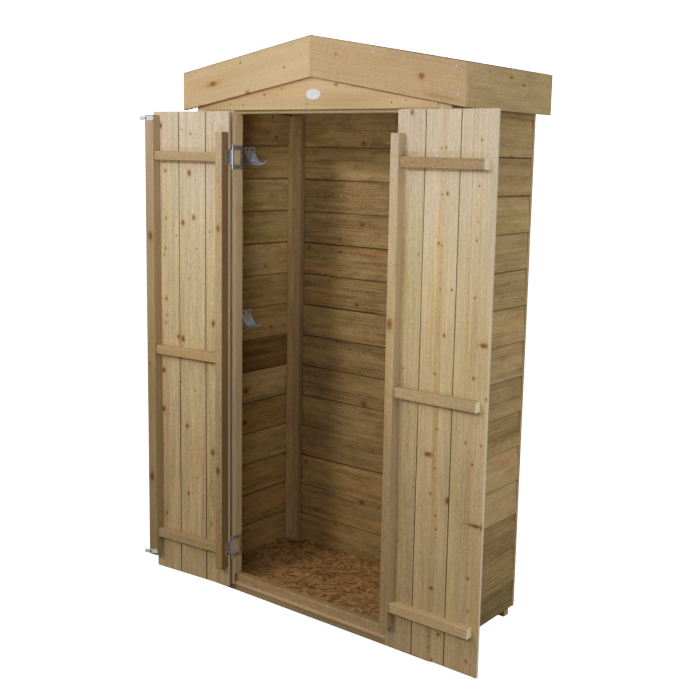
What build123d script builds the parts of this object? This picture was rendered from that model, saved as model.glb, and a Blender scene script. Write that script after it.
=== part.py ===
from build123d import *
import math
import os

os.makedirs("parts", exist_ok=True)

# ----------------------------------------------------------------------------
# Tall garden storage cabinet with an apex roof, an overlap-boarded carcass and
# a pair of ledged doors that swing right back against the front.
#
# Frame: X to the right, Y to the back, Z up, millimetres. The origin is on the
# ground under the middle of the carcass. The front faces -Y. The doors are
# modelled open, as the cabinet stands at rest.
# ----------------------------------------------------------------------------

# Carcass
carcass_depth = 471.0                 # front face of the front boards to the back of the roof boards
half_width = 495.3                    # outermost line of the side boards
front = -carcass_depth / 2            # front face of fixed boards and of the closed doors
back = carcass_depth / 2
board_t = 11.4                        # thickness of front, door and gable boards
board_bottom = 24.3                   # lowest edge of all boards

# Floor
bearer_h = 22.0
floor_t = 8.0
floor_top = bearer_h + floor_t
threshold_top = 59.0

# Doorway
reveal_x = 331.0                      # half width of the doorway
frame_back = 43.5                     # rear face of threshold and header, behind the front face
jamb_w = 27.0
header_bottom = 1601.0
header_top = 1634.0
gable_bottom = 1611.8
trim_x = 449.5                        # inner edge of the corner trims

# Overlap boards
lap_pitch = 114.05
lap_first = 115.9                     # lower edge of the first full board
lap_height = 132.0
lap_t = 6.0
lap_slope = (lap_t + 0.25) / lap_pitch
lap_inner = half_width - lap_slope * lap_height - lap_t   # innermost line of the side boards
wall_batten = 32.3                    # upright battens stand this far in from the side boards
back_line = 466.7                     # outermost line of the back boards, behind the front face
rear_trim = (462.5, 474.0)            # rear corner trims, behind the front face

# Roof
apex_z = 1826.0                       # top of the roof boards at the ridge
eave_z = 1731.0                       # top of the roof boards at the eaves
eave_x = 547.0                        # half width over the side fascias
roof_slope = (apex_z - eave_z) / eave_x
roof_board_h = 118.5                  # plumb height of the roof boards
roof_board_t = 12.0
sheet_t = 9.5
felt_t = 1.6
roof_front = -13.0                    # front of the bargeboards, from the front face

# Doors
door_w = 324.0
door_bottom = board_bottom
door_top = 1608.3
pin_x = 329.25                        # hinge axis
pin_off = 5.0                         # hinge axis in front of the front face
edge_off = 3.25                       # hinge axis to the door's hinge edge
left_open = 175.2                     # opening angles at rest, from closed
right_open = 179.4
joint_1 = 96.5                        # board joints, from the hinge edge
joint_2 = 212.0
joint_gap = 1.3
tongue_w, tongue_t = 6.0, 3.6
stile_w, stile_t = 28.0, 33.0
stile_bottom, stile_top = 93.0, 1543.0
ledge_h, ledge_t = 30.0, 25.0
ledge_z = (143.5, 796.0, 1449.5)      # lower edges of the ledges
ledge_right_end = 303.0               # right door: stops short of the meeting batten
meet_in, meet_out = 296.0, 333.0      # meeting batten, from the hinge edge
meet_bottom, meet_top = 75.0, 1596.5

# Hinges
hinge_z = (158.0, 1464.0)
leaf_t = 1.5
knuckle_r = 3.5
pin_r = 1.75
bore_r = 1.80
hinge_half = 38.0                     # half height of a hinge
small_half = 23.0                     # half height of the door leaf
frame_leaf_d = 41.0                   # depth of the frame leaf behind the front face
door_leaf_d = 31.0

# Turn buttons
button_len, button_w, button_t = 62.0, 14.0, 2.5
button_s = 322.0
button_z = (87.0, 1585.0)
button_tilt = (9.5, 0.0)

# Pad bolt
bolt_z = 930.0
bolt_r = 5.0
bolt_out = 9.0                        # bolt axis in front of the door's outer face


def at(d):
    """Y of a point that lies d behind the front face."""
    return front + d


def roof_z(x):
    """Top of the roof boards at a distance x from the ridge line."""
    return apex_z - roof_slope * abs(x)


def block(x0, x1, y0, y1, z0, z1, mode=Mode.ADD):
    """A box between two corners, in the part that is being built."""
    with Locations(((x0 + x1) / 2, (y0 + y1) / 2, (z0 + z1) / 2)):
        Box(abs(x1 - x0), abs(y1 - y0), abs(z1 - z0), mode=mode)


def lap_section(zb, z0, z1):
    """Corners of one overlap board: (distance in from the outermost line, height)."""
    a = lap_slope * (z0 - zb)
    b = lap_slope * (z1 - zb)
    return [(a + 1.2, z0), (a + 0.1, z0 + 1.2), (b, z1), (b + lap_t, z1), (a + lap_t, z0)]


left_plane = Plane(
    origin=(-pin_x, front - pin_off, 0),
    x_dir=(math.cos(math.radians(-left_open)), math.sin(math.radians(-left_open)), 0),
    z_dir=(0, 0, 1),
)
right_plane = Plane(
    origin=(pin_x, front - pin_off, 0),
    x_dir=(math.cos(math.radians(right_open)), math.sin(math.radians(right_open)), 0),
    z_dir=(0, 0, 1),
)
# In a door's own plane, local x runs along the door from the hinge axis (towards
# the free edge on the left door, away from it on the right door), local y runs
# from the outer face to the inner face, and local z is height.
outer_y = pin_off
inner_y = pin_off + board_t

# ----------------------------------------------------------------------------
# Floor
# ----------------------------------------------------------------------------

with BuildPart() as floor_bearers:
    block(-477.0, 477.0, at(12.0), at(43.5), 0, bearer_h)
    block(-488.0, 488.0, -16.0, 16.0, 0, bearer_h)
    block(-489.0, 489.0, at(420.0), at(448.0), 0, bearer_h)
    chamfer(floor_bearers.edges().filter_by(Axis.X), 1.0)
floor_bearers.part.label = "floor_bearers"
export_step(floor_bearers.part, "parts/floor_bearers.step")

with BuildPart() as floor_panel:
    block(-487.2, 487.2, at(12.0), at(458.5), bearer_h, floor_top)
    chamfer(floor_panel.faces().sort_by(Axis.Z)[-1].edges().sort_by(Axis.Y)[0], 0.8)
floor_panel.part.label = "floor_panel"
export_step(floor_panel.part, "parts/floor_panel.step")

with BuildPart() as threshold_batten:
    block(-448.8, 448.8, at(17.5), at(frame_back), floor_top, threshold_top)
    fillet(threshold_batten.faces().sort_by(Axis.Z)[-1].edges().filter_by(Axis.X), 4.0)
threshold_batten.part.label = "threshold_batten"
export_step(threshold_batten.part, "parts/threshold_batten.step")

# ----------------------------------------------------------------------------
# Front
# ----------------------------------------------------------------------------

with BuildPart() as jamb_left:
    block(-reveal_x - jamb_w, -reveal_x, at(board_t), at(44.3), threshold_top, header_top)
    chamfer(jamb_left.edges().filter_by(Axis.Z), 1.0)
jamb_left.part.label = "jamb_left"
export_step(jamb_left.part, "parts/jamb_left.step")

with BuildPart() as jamb_right:
    block(reveal_x, reveal_x + jamb_w, at(board_t), at(44.3), threshold_top, header_top)
    chamfer(jamb_right.edges().filter_by(Axis.Z), 1.0)
jamb_right.part.label = "jamb_right"
export_step(jamb_right.part, "parts/jamb_right.step")

with BuildPart() as front_board_left:
    block(-trim_x + 0.6, -reveal_x, at(0), at(board_t), board_bottom, gable_bottom - 0.3)
    chamfer(front_board_left.edges().filter_by(Axis.Z), 1.2)
front_board_left.part.label = "front_board_left"
export_step(front_board_left.part, "parts/front_board_left.step")

with BuildPart() as front_board_right:
    block(reveal_x, trim_x - 0.6, at(0), at(board_t), board_bottom, gable_bottom - 0.3)
    chamfer(front_board_right.edges().filter_by(Axis.Z), 1.2)
front_board_right.part.label = "front_board_right"
export_step(front_board_right.part, "parts/front_board_right.step")

trim_top = roof_z(half_width) - sheet_t - 2.0

with BuildPart() as corner_trim_left:
    block(-half_width, -trim_x, at(0), at(board_t), board_bottom, trim_top)
    chamfer(corner_trim_left.edges().filter_by(Axis.Z), 1.2)
corner_trim_left.part.label = "corner_trim_left"
export_step(corner_trim_left.part, "parts/corner_trim_left.step")

with BuildPart() as corner_trim_right:
    block(trim_x, half_width, at(0), at(board_t), board_bottom, trim_top)
    chamfer(corner_trim_right.edges().filter_by(Axis.Z), 1.2)
corner_trim_right.part.label = "corner_trim_right"
export_step(corner_trim_right.part, "parts/corner_trim_right.step")

with BuildPart() as corner_trims_rear:
    for side in (-1, 1):
        block(side * trim_x, side * half_width, at(rear_trim[0]), at(rear_trim[1]), board_bottom, 1620.0)
    chamfer(corner_trims_rear.edges().filter_by(Axis.Z), 1.2)
corner_trims_rear.part.label = "corner_trims_rear"
export_step(corner_trims_rear.part, "parts/corner_trims_rear.step")

with BuildPart() as header_batten:
    block(-reveal_x, reveal_x, at(board_t + 0.6), at(frame_back), header_bottom, header_top)
    chamfer(header_batten.edges().filter_by(Axis.X), 1.0)
header_batten.part.label = "header_batten"
export_step(header_batten.part, "parts/header_batten.step")

gable_x = trim_x - 0.4
gable_points = [
    (-gable_x, gable_bottom),
    (gable_x, gable_bottom),
    (gable_x, roof_z(gable_x) - sheet_t - 2.0),
    (0, apex_z - sheet_t - 2.0),
    (-gable_x, roof_z(gable_x) - sheet_t - 2.0),
]

with BuildPart() as gable_board_front:
    with BuildSketch(Plane.XZ.offset(-at(board_t))):
        Polygon(*gable_points, align=None)
    extrude(amount=board_t)
    chamfer(
        gable_board_front.faces().sort_by(Axis.Y)[0].edges().filter_by(Axis.X).sort_by(Axis.Z)[0],
        1.2,
    )
gable_board_front.part.label = "gable_board_front"
export_step(gable_board_front.part, "parts/gable_board_front.step")

with BuildPart() as gable_board_rear:
    with BuildSketch(Plane.XZ.offset(-at(453.2))):
        Polygon(
            (-481.6, 1612.1),
            (481.6, 1612.1),
            (481.6, roof_z(481.6) - sheet_t - 2.0),
            (0, apex_z - sheet_t - 2.0),
            (-481.6, roof_z(481.6) - sheet_t - 2.0),
            align=None,
        )
    extrude(amount=11.2)
gable_board_rear.part.label = "gable_board_rear"
export_step(gable_board_rear.part, "parts/gable_board_rear.step")

# ----------------------------------------------------------------------------
# Side and back walls: boards that overlap downwards, on upright battens
# ----------------------------------------------------------------------------

side_y0, side_y1 = at(board_t + 0.3), at(rear_trim[0] - 0.3)
side_limit = roof_z(half_width) - sheet_t - 2.0
back_limit = 1616.5
side_top_y1 = at(459.0)               # the uppermost board stops at the rear bargeboards

with BuildPart() as side_boards_left:
    for k in range(-1, 14):
        zb = lap_first + k * lap_pitch
        z0, z1 = max(board_bottom, zb), min(side_limit, zb + lap_height)
        y1 = side_y1 if z1 < back_limit + 1.0 else side_top_y1
        with BuildSketch(Plane.XZ.offset(-y1)):
            Polygon(*[(-half_width + o, z) for o, z in lap_section(zb, z0, z1)], align=None)
        extrude(amount=y1 - side_y0)
side_boards_left.part.label = "side_boards_left"
export_step(side_boards_left.part, "parts/side_boards_left.step")

with BuildPart() as side_boards_right:
    for k in range(-1, 14):
        zb = lap_first + k * lap_pitch
        z0, z1 = max(board_bottom, zb), min(side_limit, zb + lap_height)
        y1 = side_y1 if z1 < back_limit + 1.0 else side_top_y1
        with BuildSketch(Plane.XZ.offset(-y1)):
            Polygon(*[(half_width - o, z) for o, z in lap_section(zb, z0, z1)], align=None)
        extrude(amount=y1 - side_y0)
side_boards_right.part.label = "side_boards_right"
export_step(side_boards_right.part, "parts/side_boards_right.step")

with BuildPart() as back_boards:
    for k in range(-1, 13):
        zb = lap_first + k * lap_pitch
        z0, z1 = max(board_bottom, zb), min(back_limit, zb + lap_height)
        with BuildSketch(Plane.YZ.offset(-(trim_x - 0.4))):
            Polygon(*[(at(back_line) - o, z) for o, z in lap_section(zb, z0, z1)], align=None)
        extrude(amount=2 * (trim_x - 0.4))
back_boards.part.label = "back_boards"
export_step(back_boards.part, "parts/back_boards.step")

batten_x1 = lap_inner - 0.2
batten_x0 = batten_x1 - wall_batten
back_batten_y1 = at(back_line - lap_slope * lap_height - lap_t) - 0.2
back_batten_y0 = at(430.0)

with BuildPart() as side_battens_left:
    block(-batten_x1, -batten_x0, at(board_t + 0.3), at(39.5), floor_top, side_limit)
    block(-batten_x1, -batten_x0, back_batten_y0, side_y1, floor_top, gable_bottom)
    chamfer(side_battens_left.edges().filter_by(Axis.Z), 1.2)
side_battens_left.part.label = "side_battens_left"
export_step(side_battens_left.part, "parts/side_battens_left.step")

with BuildPart() as side_battens_right:
    block(batten_x0, batten_x1, at(board_t + 0.3), at(39.5), floor_top, side_limit)
    block(batten_x0, batten_x1, back_batten_y0, side_y1, floor_top, gable_bottom)
    chamfer(side_battens_right.edges().filter_by(Axis.Z), 1.2)
side_battens_right.part.label = "side_battens_right"
export_step(side_battens_right.part, "parts/side_battens_right.step")

with BuildPart() as back_battens:
    for xc in (-(batten_x0 - 14.5), 4.0, batten_x0 - 14.5):
        block(xc - 14.0, xc + 14.0, back_batten_y0, back_batten_y1, floor_top, gable_bottom)
    chamfer(back_battens.edges().filter_by(Axis.Z), 1.2)
back_battens.part.label = "back_battens"
export_step(back_battens.part, "parts/back_battens.step")

# ----------------------------------------------------------------------------
# Roof
# ----------------------------------------------------------------------------

barge_mid = 0.25                      # half the joint at the ridge
rear_in = eave_x - roof_board_t - 0.2 # rear bargeboards fit between the fascias

with BuildPart() as bargeboard_front_left:
    with BuildSketch(Plane.XZ.offset(-at(roof_front + roof_board_t))):
        Polygon(
            (-eave_x, eave_z - roof_board_h),
            (-barge_mid, roof_z(barge_mid) - roof_board_h),
            (-barge_mid, roof_z(barge_mid)),
            (-eave_x, eave_z),
            align=None,
        )
    extrude(amount=roof_board_t)
    chamfer(bargeboard_front_left.faces().sort_by(Axis.Y)[0].edges(), 0.9)
bargeboard_front_left.part.label = "bargeboard_front_left"
export_step(bargeboard_front_left.part, "parts/bargeboard_front_left.step")

with BuildPart() as bargeboard_front_right:
    with BuildSketch(Plane.XZ.offset(-at(roof_front + roof_board_t))):
        Polygon(
            (barge_mid, roof_z(barge_mid) - roof_board_h),
            (eave_x, eave_z - roof_board_h),
            (eave_x, eave_z),
            (barge_mid, roof_z(barge_mid)),
            align=None,
        )
    extrude(amount=roof_board_t)
    chamfer(bargeboard_front_right.faces().sort_by(Axis.Y)[0].edges(), 0.9)
bargeboard_front_right.part.label = "bargeboard_front_right"
export_step(bargeboard_front_right.part, "parts/bargeboard_front_right.step")

with BuildPart() as bargeboards_rear:
    for side in (-1, 1):
        with BuildSketch(Plane.XZ.offset(-back)):
            Polygon(
                (side * rear_in, roof_z(rear_in) - roof_board_h),
                (side * barge_mid, roof_z(barge_mid) - roof_board_h),
                (side * barge_mid, roof_z(barge_mid)),
                (side * rear_in, roof_z(rear_in)),
                align=None,
            )
        extrude(amount=roof_board_t - 0.3)
    chamfer(bargeboards_rear.faces().sort_by(Axis.Y)[-2:].edges(), 0.9)
bargeboards_rear.part.label = "bargeboards_rear"
export_step(bargeboards_rear.part, "parts/bargeboards_rear.step")

fascia_in = eave_x - roof_board_t
fascia_y0 = at(roof_front + roof_board_t)

fascia_left_rise = 14.0               # the left fascia's lower edge lies above the bargeboard's

with BuildPart() as fascia_left:
    with BuildSketch(Plane.XZ.offset(-back)):
        Polygon(
            (-eave_x, eave_z - roof_board_h + fascia_left_rise),
            (-fascia_in, eave_z - roof_board_h + fascia_left_rise),
            (-fascia_in, roof_z(fascia_in)),
            (-eave_x, eave_z),
            align=None,
        )
    extrude(amount=back - fascia_y0)
    chamfer(
        fascia_left.faces().sort_by(Axis.X)[0].edges().filter_by(Axis.Y).sort_by(Axis.Z)[0], 0.9
    )
fascia_left.part.label = "fascia_left"
export_step(fascia_left.part, "parts/fascia_left.step")

with BuildPart() as fascia_right:
    with BuildSketch(Plane.XZ.offset(-back)):
        Polygon(
            (fascia_in, eave_z - roof_board_h),
            (eave_x, eave_z - roof_board_h),
            (eave_x, eave_z),
            (fascia_in, roof_z(fascia_in)),
            align=None,
        )
    extrude(amount=back - fascia_y0)
    chamfer(
        fascia_right.faces().sort_by(Axis.X)[-1].edges().filter_by(Axis.Y).sort_by(Axis.Z)[0], 0.9
    )
fascia_right.part.label = "fascia_right"
export_step(fascia_right.part, "parts/fascia_right.step")

sheet_y1 = back - roof_board_t
sheet_y0 = fascia_y0
sheet_x = fascia_in - 0.3

with BuildPart() as roof_sheet_left:
    with BuildSketch(Plane.XZ.offset(-sheet_y1)):
        Polygon(
            (-sheet_x, roof_z(sheet_x) - sheet_t),
            (-barge_mid, roof_z(barge_mid) - sheet_t),
            (-barge_mid, roof_z(barge_mid)),
            (-sheet_x, roof_z(sheet_x)),
            align=None,
        )
    extrude(amount=sheet_y1 - sheet_y0)
roof_sheet_left.part.label = "roof_sheet_left"
export_step(roof_sheet_left.part, "parts/roof_sheet_left.step")

with BuildPart() as roof_sheet_right:
    with BuildSketch(Plane.XZ.offset(-sheet_y1)):
        Polygon(
            (barge_mid, roof_z(barge_mid) - sheet_t),
            (sheet_x, roof_z(sheet_x) - sheet_t),
            (sheet_x, roof_z(sheet_x)),
            (barge_mid, roof_z(barge_mid)),
            align=None,
        )
    extrude(amount=sheet_y1 - sheet_y0)
roof_sheet_right.part.label = "roof_sheet_right"
export_step(roof_sheet_right.part, "parts/roof_sheet_right.step")

with BuildPart() as ridge_beam:
    beam_top = roof_z(14.0) - sheet_t - 0.4
    block(-14.0, 14.0, at(board_t + 0.3), at(441.7), beam_top - 44.0, beam_top)
    chamfer(ridge_beam.edges().filter_by(Axis.Y), 1.0)
ridge_beam.part.label = "ridge_beam"
export_step(ridge_beam.part, "parts/ridge_beam.step")

with BuildPart() as eave_rails:
    for side in (-1, 1):
        with BuildSketch(Plane.XZ.offset(-at(429.0))):
            Polygon(
                (side * batten_x0, 1690.0),
                (side * batten_x1, 1690.0),
                (side * batten_x1, roof_z(batten_x1) - sheet_t - 0.4),
                (side * batten_x0, roof_z(batten_x0) - sheet_t - 0.4),
                align=None,
            )
        extrude(amount=429.0 - 40.0)
eave_rails.part.label = "eave_rails"
export_step(eave_rails.part, "parts/eave_rails.step")

felt_over = 0.3
with BuildPart() as roof_felt:
    for side in (-1, 1):
        with BuildSketch(Plane.XZ.offset(-(back + felt_over))):
            Polygon(
                (side * 0.15, roof_z(0.15) + 0.1),
                (side * (eave_x + felt_over), roof_z(eave_x + felt_over) + 0.1),
                (side * (eave_x + felt_over), roof_z(eave_x + felt_over) + felt_t),
                (side * 0.15, roof_z(0.15) + felt_t),
                align=None,
            )
        extrude(amount=back + felt_over - at(roof_front - felt_over))
roof_felt.part.label = "roof_felt"
export_step(roof_felt.part, "parts/roof_felt.step")

badge_x, badge_z = 3.0, 1656.5
with BuildPart() as badge_plate:
    with BuildSketch(Plane.XZ.offset(-at(0))):
        with Locations((badge_x, badge_z)):
            Ellipse(29.0, 16.0)
    extrude(amount=1.6)
    chamfer(badge_plate.faces().sort_by(Axis.Y)[0].edges(), 0.5)
badge_plate.part.label = "badge_plate"
export_step(badge_plate.part, "parts/badge_plate.step")

# Nails: a low round head on the face and a shank in the board
front_nails = [
    (-510.0, 1722.0), (-525.0, 1642.0), (-291.0, 1762.0), (-72.5, 1801.0),
    (60.0, 1803.0), (235.0, 1771.0), (514.0, 1721.0), (522.0, 1646.0),
]
gable_nails = [(-343.0, 1630.5), (-287.0, 1628.0), (-22.0, 1628.0), (292.0, 1629.0), (343.5, 1635.0)]
side_nails = [(106.0, 1715.0), (355.0, 1714.0), (3.5, 1688.0), (3.5, 1643.0)]
rear_nails = [(-505.0, 1720.0), (-505.0, 1645.0), (-250.0, 1769.0), (-60.0, 1802.0),
              (60.0, 1802.0), (250.0, 1769.0), (505.0, 1720.0), (505.0, 1645.0)]
nail_head_r, nail_head_t, nail_shank_r, nail_len = 3.0, 0.7, 1.2, 9.5

with BuildPart() as roof_nails:
    for nx, nz in front_nails:
        with Locations(Location((nx, at(roof_front), nz), (90, 0, 0))):
            Cylinder(nail_head_r, nail_head_t, align=(Align.CENTER, Align.CENTER, Align.MIN))
            Cylinder(nail_shank_r, nail_len, align=(Align.CENTER, Align.CENTER, Align.MAX))
    for nx, nz in gable_nails:
        with Locations(Location((nx, at(0), nz), (90, 0, 0))):
            Cylinder(2.2, 0.5, align=(Align.CENTER, Align.CENTER, Align.MIN))
            Cylinder(nail_shank_r, nail_len, align=(Align.CENTER, Align.CENTER, Align.MAX))
    for nd, nz in side_nails:
        for side in (-1, 1):
            with Locations(Location((side * eave_x, at(nd), nz), (0, 90 * side, 0))):
                Cylinder(nail_head_r, nail_head_t, align=(Align.CENTER, Align.CENTER, Align.MIN))
                Cylinder(nail_shank_r, nail_len, align=(Align.CENTER, Align.CENTER, Align.MAX))
    for nx, nz in rear_nails:
        with Locations(Location((nx, back, nz), (-90, 0, 0))):
            Cylinder(nail_head_r, nail_head_t, align=(Align.CENTER, Align.CENTER, Align.MIN))
            Cylinder(nail_shank_r, nail_len, align=(Align.CENTER, Align.CENTER, Align.MAX))
roof_nails.part.label = "roof_nails"
export_step(roof_nails.part, "parts/roof_nails.step")

# ----------------------------------------------------------------------------
# Hinges: a U-shaped leaf on the jamb, a small leaf on the door that folds into
# it, and a pin through the knuckles in front of the boards
# ----------------------------------------------------------------------------

pin_y = front - pin_off
arm_h = hinge_half - small_half - 0.5
screw_head_r, screw_head_t, screw_r, screw_len = 3.1, 0.7, 1.6, 16.0

with BuildPart() as hinge_frame_leaves:
    for side in (-1, 1):
        x0 = side * reveal_x
        x1 = side * (reveal_x - leaf_t)
        for zc in hinge_z:
            # back strip and two arms
            block(x0, x1, at(frame_leaf_d - 11.0), at(frame_leaf_d), zc - hinge_half, zc + hinge_half)
            for s in (-1, 1):
                za = zc + s * (hinge_half - arm_h / 2)
                block(x0, x1, pin_y, at(frame_leaf_d - 10.0), za - arm_h / 2, za + arm_h / 2)
                with Locations((side * pin_x, pin_y, za)):
                    Cylinder(knuckle_r, arm_h)
                    Cylinder(bore_r, arm_h + 1.0, mode=Mode.SUBTRACT)
hinge_frame_leaves.part.label = "hinge_frame_leaves"
export_step(hinge_frame_leaves.part, "parts/hinge_frame_leaves.step")

with BuildPart() as hinge_pins:
    for side in (-1, 1):
        for zc in hinge_z:
            with Locations((side * pin_x, pin_y, zc)):
                Cylinder(pin_r, 2 * hinge_half)
            for s in (-1, 1):
                with Locations((side * pin_x, pin_y, zc + s * (hinge_half + 0.6))):
                    Cylinder(2.7, 1.2)
hinge_pins.part.label = "hinge_pins"
export_step(hinge_pins.part, "parts/hinge_pins.step")

with BuildPart() as hinge_frame_screws:
    for side in (-1, 1):
        for zc in hinge_z:
            for d, dz in ((20.0, -30.6), (20.0, 30.6), (35.5, -14.0), (35.5, 14.0)):
                with Locations(
                    Location((side * (reveal_x - leaf_t), at(d), zc + dz), (0, -90 * side, 0))
                ):
                    Cylinder(screw_head_r, screw_head_t, align=(Align.CENTER, Align.CENTER, Align.MIN))
                    Cylinder(screw_r, screw_len, align=(Align.CENTER, Align.CENTER, Align.MAX))
hinge_frame_screws.part.label = "hinge_frame_screws"
export_step(hinge_frame_screws.part, "parts/hinge_frame_screws.step")

# ----------------------------------------------------------------------------
# Tool hooks inside the left wall: a steel plate with its sides bent out into
# a pair of upturned hooks
# ----------------------------------------------------------------------------

hook_x = -lap_inner + 0.3
hook_w, hook_h, hook_t = 50.0, 62.0, 1.6
hooks = {"upper": (at(230.0), 1438.0), "lower": (at(215.0), 872.0)}
# side outline of a hook: (distance from the wall, height above the plate's foot)
hook_outline = [
    (0.0, 0.0), (18.0, -1.5), (32.0, -0.5), (43.0, 3.0), (51.0, 9.0), (57.5, 18.5),
    (55.5, 19.8), (48.5, 13.2), (41.0, 9.6), (32.0, 8.8), (24.0, 12.0), (17.0, 19.0),
    (10.0, 29.5), (4.0, 38.5), (0.0, 43.0),
]

hook_y, hook_z = hooks["upper"]
with BuildPart() as tool_hook_upper:
    block(hook_x, hook_x + hook_t, hook_y - hook_w / 2, hook_y + hook_w / 2, hook_z, hook_z + hook_h)
    for s in (-1, 1):
        with BuildSketch(Plane.XZ.offset(-(hook_y + s * (hook_w - hook_t) / 2 + hook_t / 2))):
            Polygon(*[(hook_x + a, hook_z + b) for a, b in hook_outline], align=None)
        extrude(amount=hook_t)
tool_hook_upper.part.label = "tool_hook_upper"
export_step(tool_hook_upper.part, "parts/tool_hook_upper.step")

hook_y, hook_z = hooks["lower"]
with BuildPart() as tool_hook_lower:
    block(hook_x, hook_x + hook_t, hook_y - hook_w / 2, hook_y + hook_w / 2, hook_z, hook_z + hook_h)
    for s in (-1, 1):
        with BuildSketch(Plane.XZ.offset(-(hook_y + s * (hook_w - hook_t) / 2 + hook_t / 2))):
            Polygon(*[(hook_x + a, hook_z + b) for a, b in hook_outline], align=None)
        extrude(amount=hook_t)
tool_hook_lower.part.label = "tool_hook_lower"
export_step(tool_hook_lower.part, "parts/tool_hook_lower.step")

with BuildPart() as tool_hook_screws:
    for hy, hz in hooks.values():
        for s in (-1, 1):
            with Locations(Location((hook_x + hook_t, hy + s * 14.0, hz + 52.0), (0, 90, 0))):
                Cylinder(3.8, 1.6, align=(Align.CENTER, Align.CENTER, Align.MIN))
                Cylinder(1.7, 6.5, align=(Align.CENTER, Align.CENTER, Align.MAX))
tool_hook_screws.part.label = "tool_hook_screws"
export_step(tool_hook_screws.part, "parts/tool_hook_screws.step")

# ----------------------------------------------------------------------------
# Doors. Boards are tongued and grooved, with a V joint on the outer face.
# ----------------------------------------------------------------------------

door_h = door_top - door_bottom
v_cut = 2.6                           # V joint on the outer face
ease = 0.7                            # eased corner on the inner face
tongue_y0 = outer_y + 4.3
tongue_y1 = tongue_y0 + tongue_t
groove_d = tongue_w + 0.4
groove_y0 = tongue_y0 - 0.25
groove_y1 = tongue_y1 + 0.25


def board_outline(s0, s1, groove, tongue):
    """Section of a door board from s0 to s1, with a groove at s0 and a tongue at s1."""
    a, b = s0 + edge_off, s1 + edge_off
    va = v_cut if groove else 1.0
    vb = v_cut if tongue else 1.0
    pts = [(a + va, outer_y), (b - vb, outer_y), (b, outer_y + vb)]
    if tongue:
        pts += [(b, tongue_y0), (b + tongue_w, tongue_y0), (b + tongue_w, tongue_y1), (b, tongue_y1)]
    pts += [(b, inner_y - ease), (b - ease, inner_y), (a + ease, inner_y), (a, inner_y - ease)]
    if groove:
        pts += [(a, groove_y1), (a + groove_d, groove_y1), (a + groove_d, groove_y0), (a, groove_y0)]
    pts += [(a, outer_y + va)]
    return pts


def mirrored(points):
    return [(-x, y) for x, y in points]


hinge_board = board_outline(0.0, joint_1 - joint_gap / 2, False, True)
middle_board = board_outline(joint_1 + joint_gap / 2, joint_2 - joint_gap / 2, True, True)
free_board = board_outline(joint_2 + joint_gap / 2, door_w, True, False)

with BuildPart() as left_door_board_hinge:
    with BuildSketch(left_plane.offset(door_bottom)):
        Polygon(*hinge_board, align=None)
    extrude(amount=door_h)
left_door_board_hinge.part.label = "left_door_board_hinge"
export_step(left_door_board_hinge.part, "parts/left_door_board_hinge.step")

with BuildPart() as left_door_board_middle:
    with BuildSketch(left_plane.offset(door_bottom)):
        Polygon(*middle_board, align=None)
    extrude(amount=door_h)
left_door_board_middle.part.label = "left_door_board_middle"
export_step(left_door_board_middle.part, "parts/left_door_board_middle.step")

with BuildPart() as left_door_board_free:
    with BuildSketch(left_plane.offset(door_bottom)):
        Polygon(*free_board, align=None)
    extrude(amount=door_h)
left_door_board_free.part.label = "left_door_board_free"
export_step(left_door_board_free.part, "parts/left_door_board_free.step")

with BuildPart() as right_door_board_hinge:
    with BuildSketch(right_plane.offset(door_bottom)):
        Polygon(*mirrored(hinge_board), align=None)
    extrude(amount=door_h)
right_door_board_hinge.part.label = "right_door_board_hinge"
export_step(right_door_board_hinge.part, "parts/right_door_board_hinge.step")

with BuildPart() as right_door_board_middle:
    with BuildSketch(right_plane.offset(door_bottom)):
        Polygon(*mirrored(middle_board), align=None)
    extrude(amount=door_h)
right_door_board_middle.part.label = "right_door_board_middle"
export_step(right_door_board_middle.part, "parts/right_door_board_middle.step")

with BuildPart() as right_door_board_free:
    with BuildSketch(right_plane.offset(door_bottom)):
        Polygon(*mirrored(free_board), align=None)
    extrude(amount=door_h)
right_door_board_free.part.label = "right_door_board_free"
export_step(right_door_board_free.part, "parts/right_door_board_free.step")

# Stiles along the hinge edges, on the inner face
stile_x0, stile_x1 = edge_off, edge_off + stile_w
stile_section = [
    (stile_x0, inner_y), (stile_x1, inner_y),
    (stile_x1, inner_y + stile_t - 1.5), (stile_x1 - 1.5, inner_y + stile_t),
    (stile_x0 + 1.5, inner_y + stile_t), (stile_x0, inner_y + stile_t - 1.5),
]

with BuildPart() as left_door_stile:
    with BuildSketch(left_plane.offset(stile_bottom)):
        Polygon(*stile_section, align=None)
    extrude(amount=stile_top - stile_bottom)
left_door_stile.part.label = "left_door_stile"
export_step(left_door_stile.part, "parts/left_door_stile.step")

with BuildPart() as right_door_stile:
    with BuildSketch(right_plane.offset(stile_bottom)):
        Polygon(*mirrored(stile_section), align=None)
    extrude(amount=stile_top - stile_bottom)
right_door_stile.part.label = "right_door_stile"
export_step(right_door_stile.part, "parts/right_door_stile.step")

# Ledges across the boards, butted to the stile
with BuildPart(left_plane) as left_door_ledges:
    for z in ledge_z:
        block(stile_x1 + 0.3, edge_off + meet_in - 0.3, inner_y, inner_y + ledge_t, z, z + ledge_h)
    chamfer(
        left_door_ledges.edges().filter_by(lambda e: abs(e.tangent_at(0.5).dot(left_plane.x_dir)) > 0.99)
        .filter_by(lambda e: left_plane.to_local_coords(e.center()).Y > inner_y + 1.0),
        1.5,
    )
left_door_ledges.part.label = "left_door_ledges"
export_step(left_door_ledges.part, "parts/left_door_ledges.step")

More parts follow.
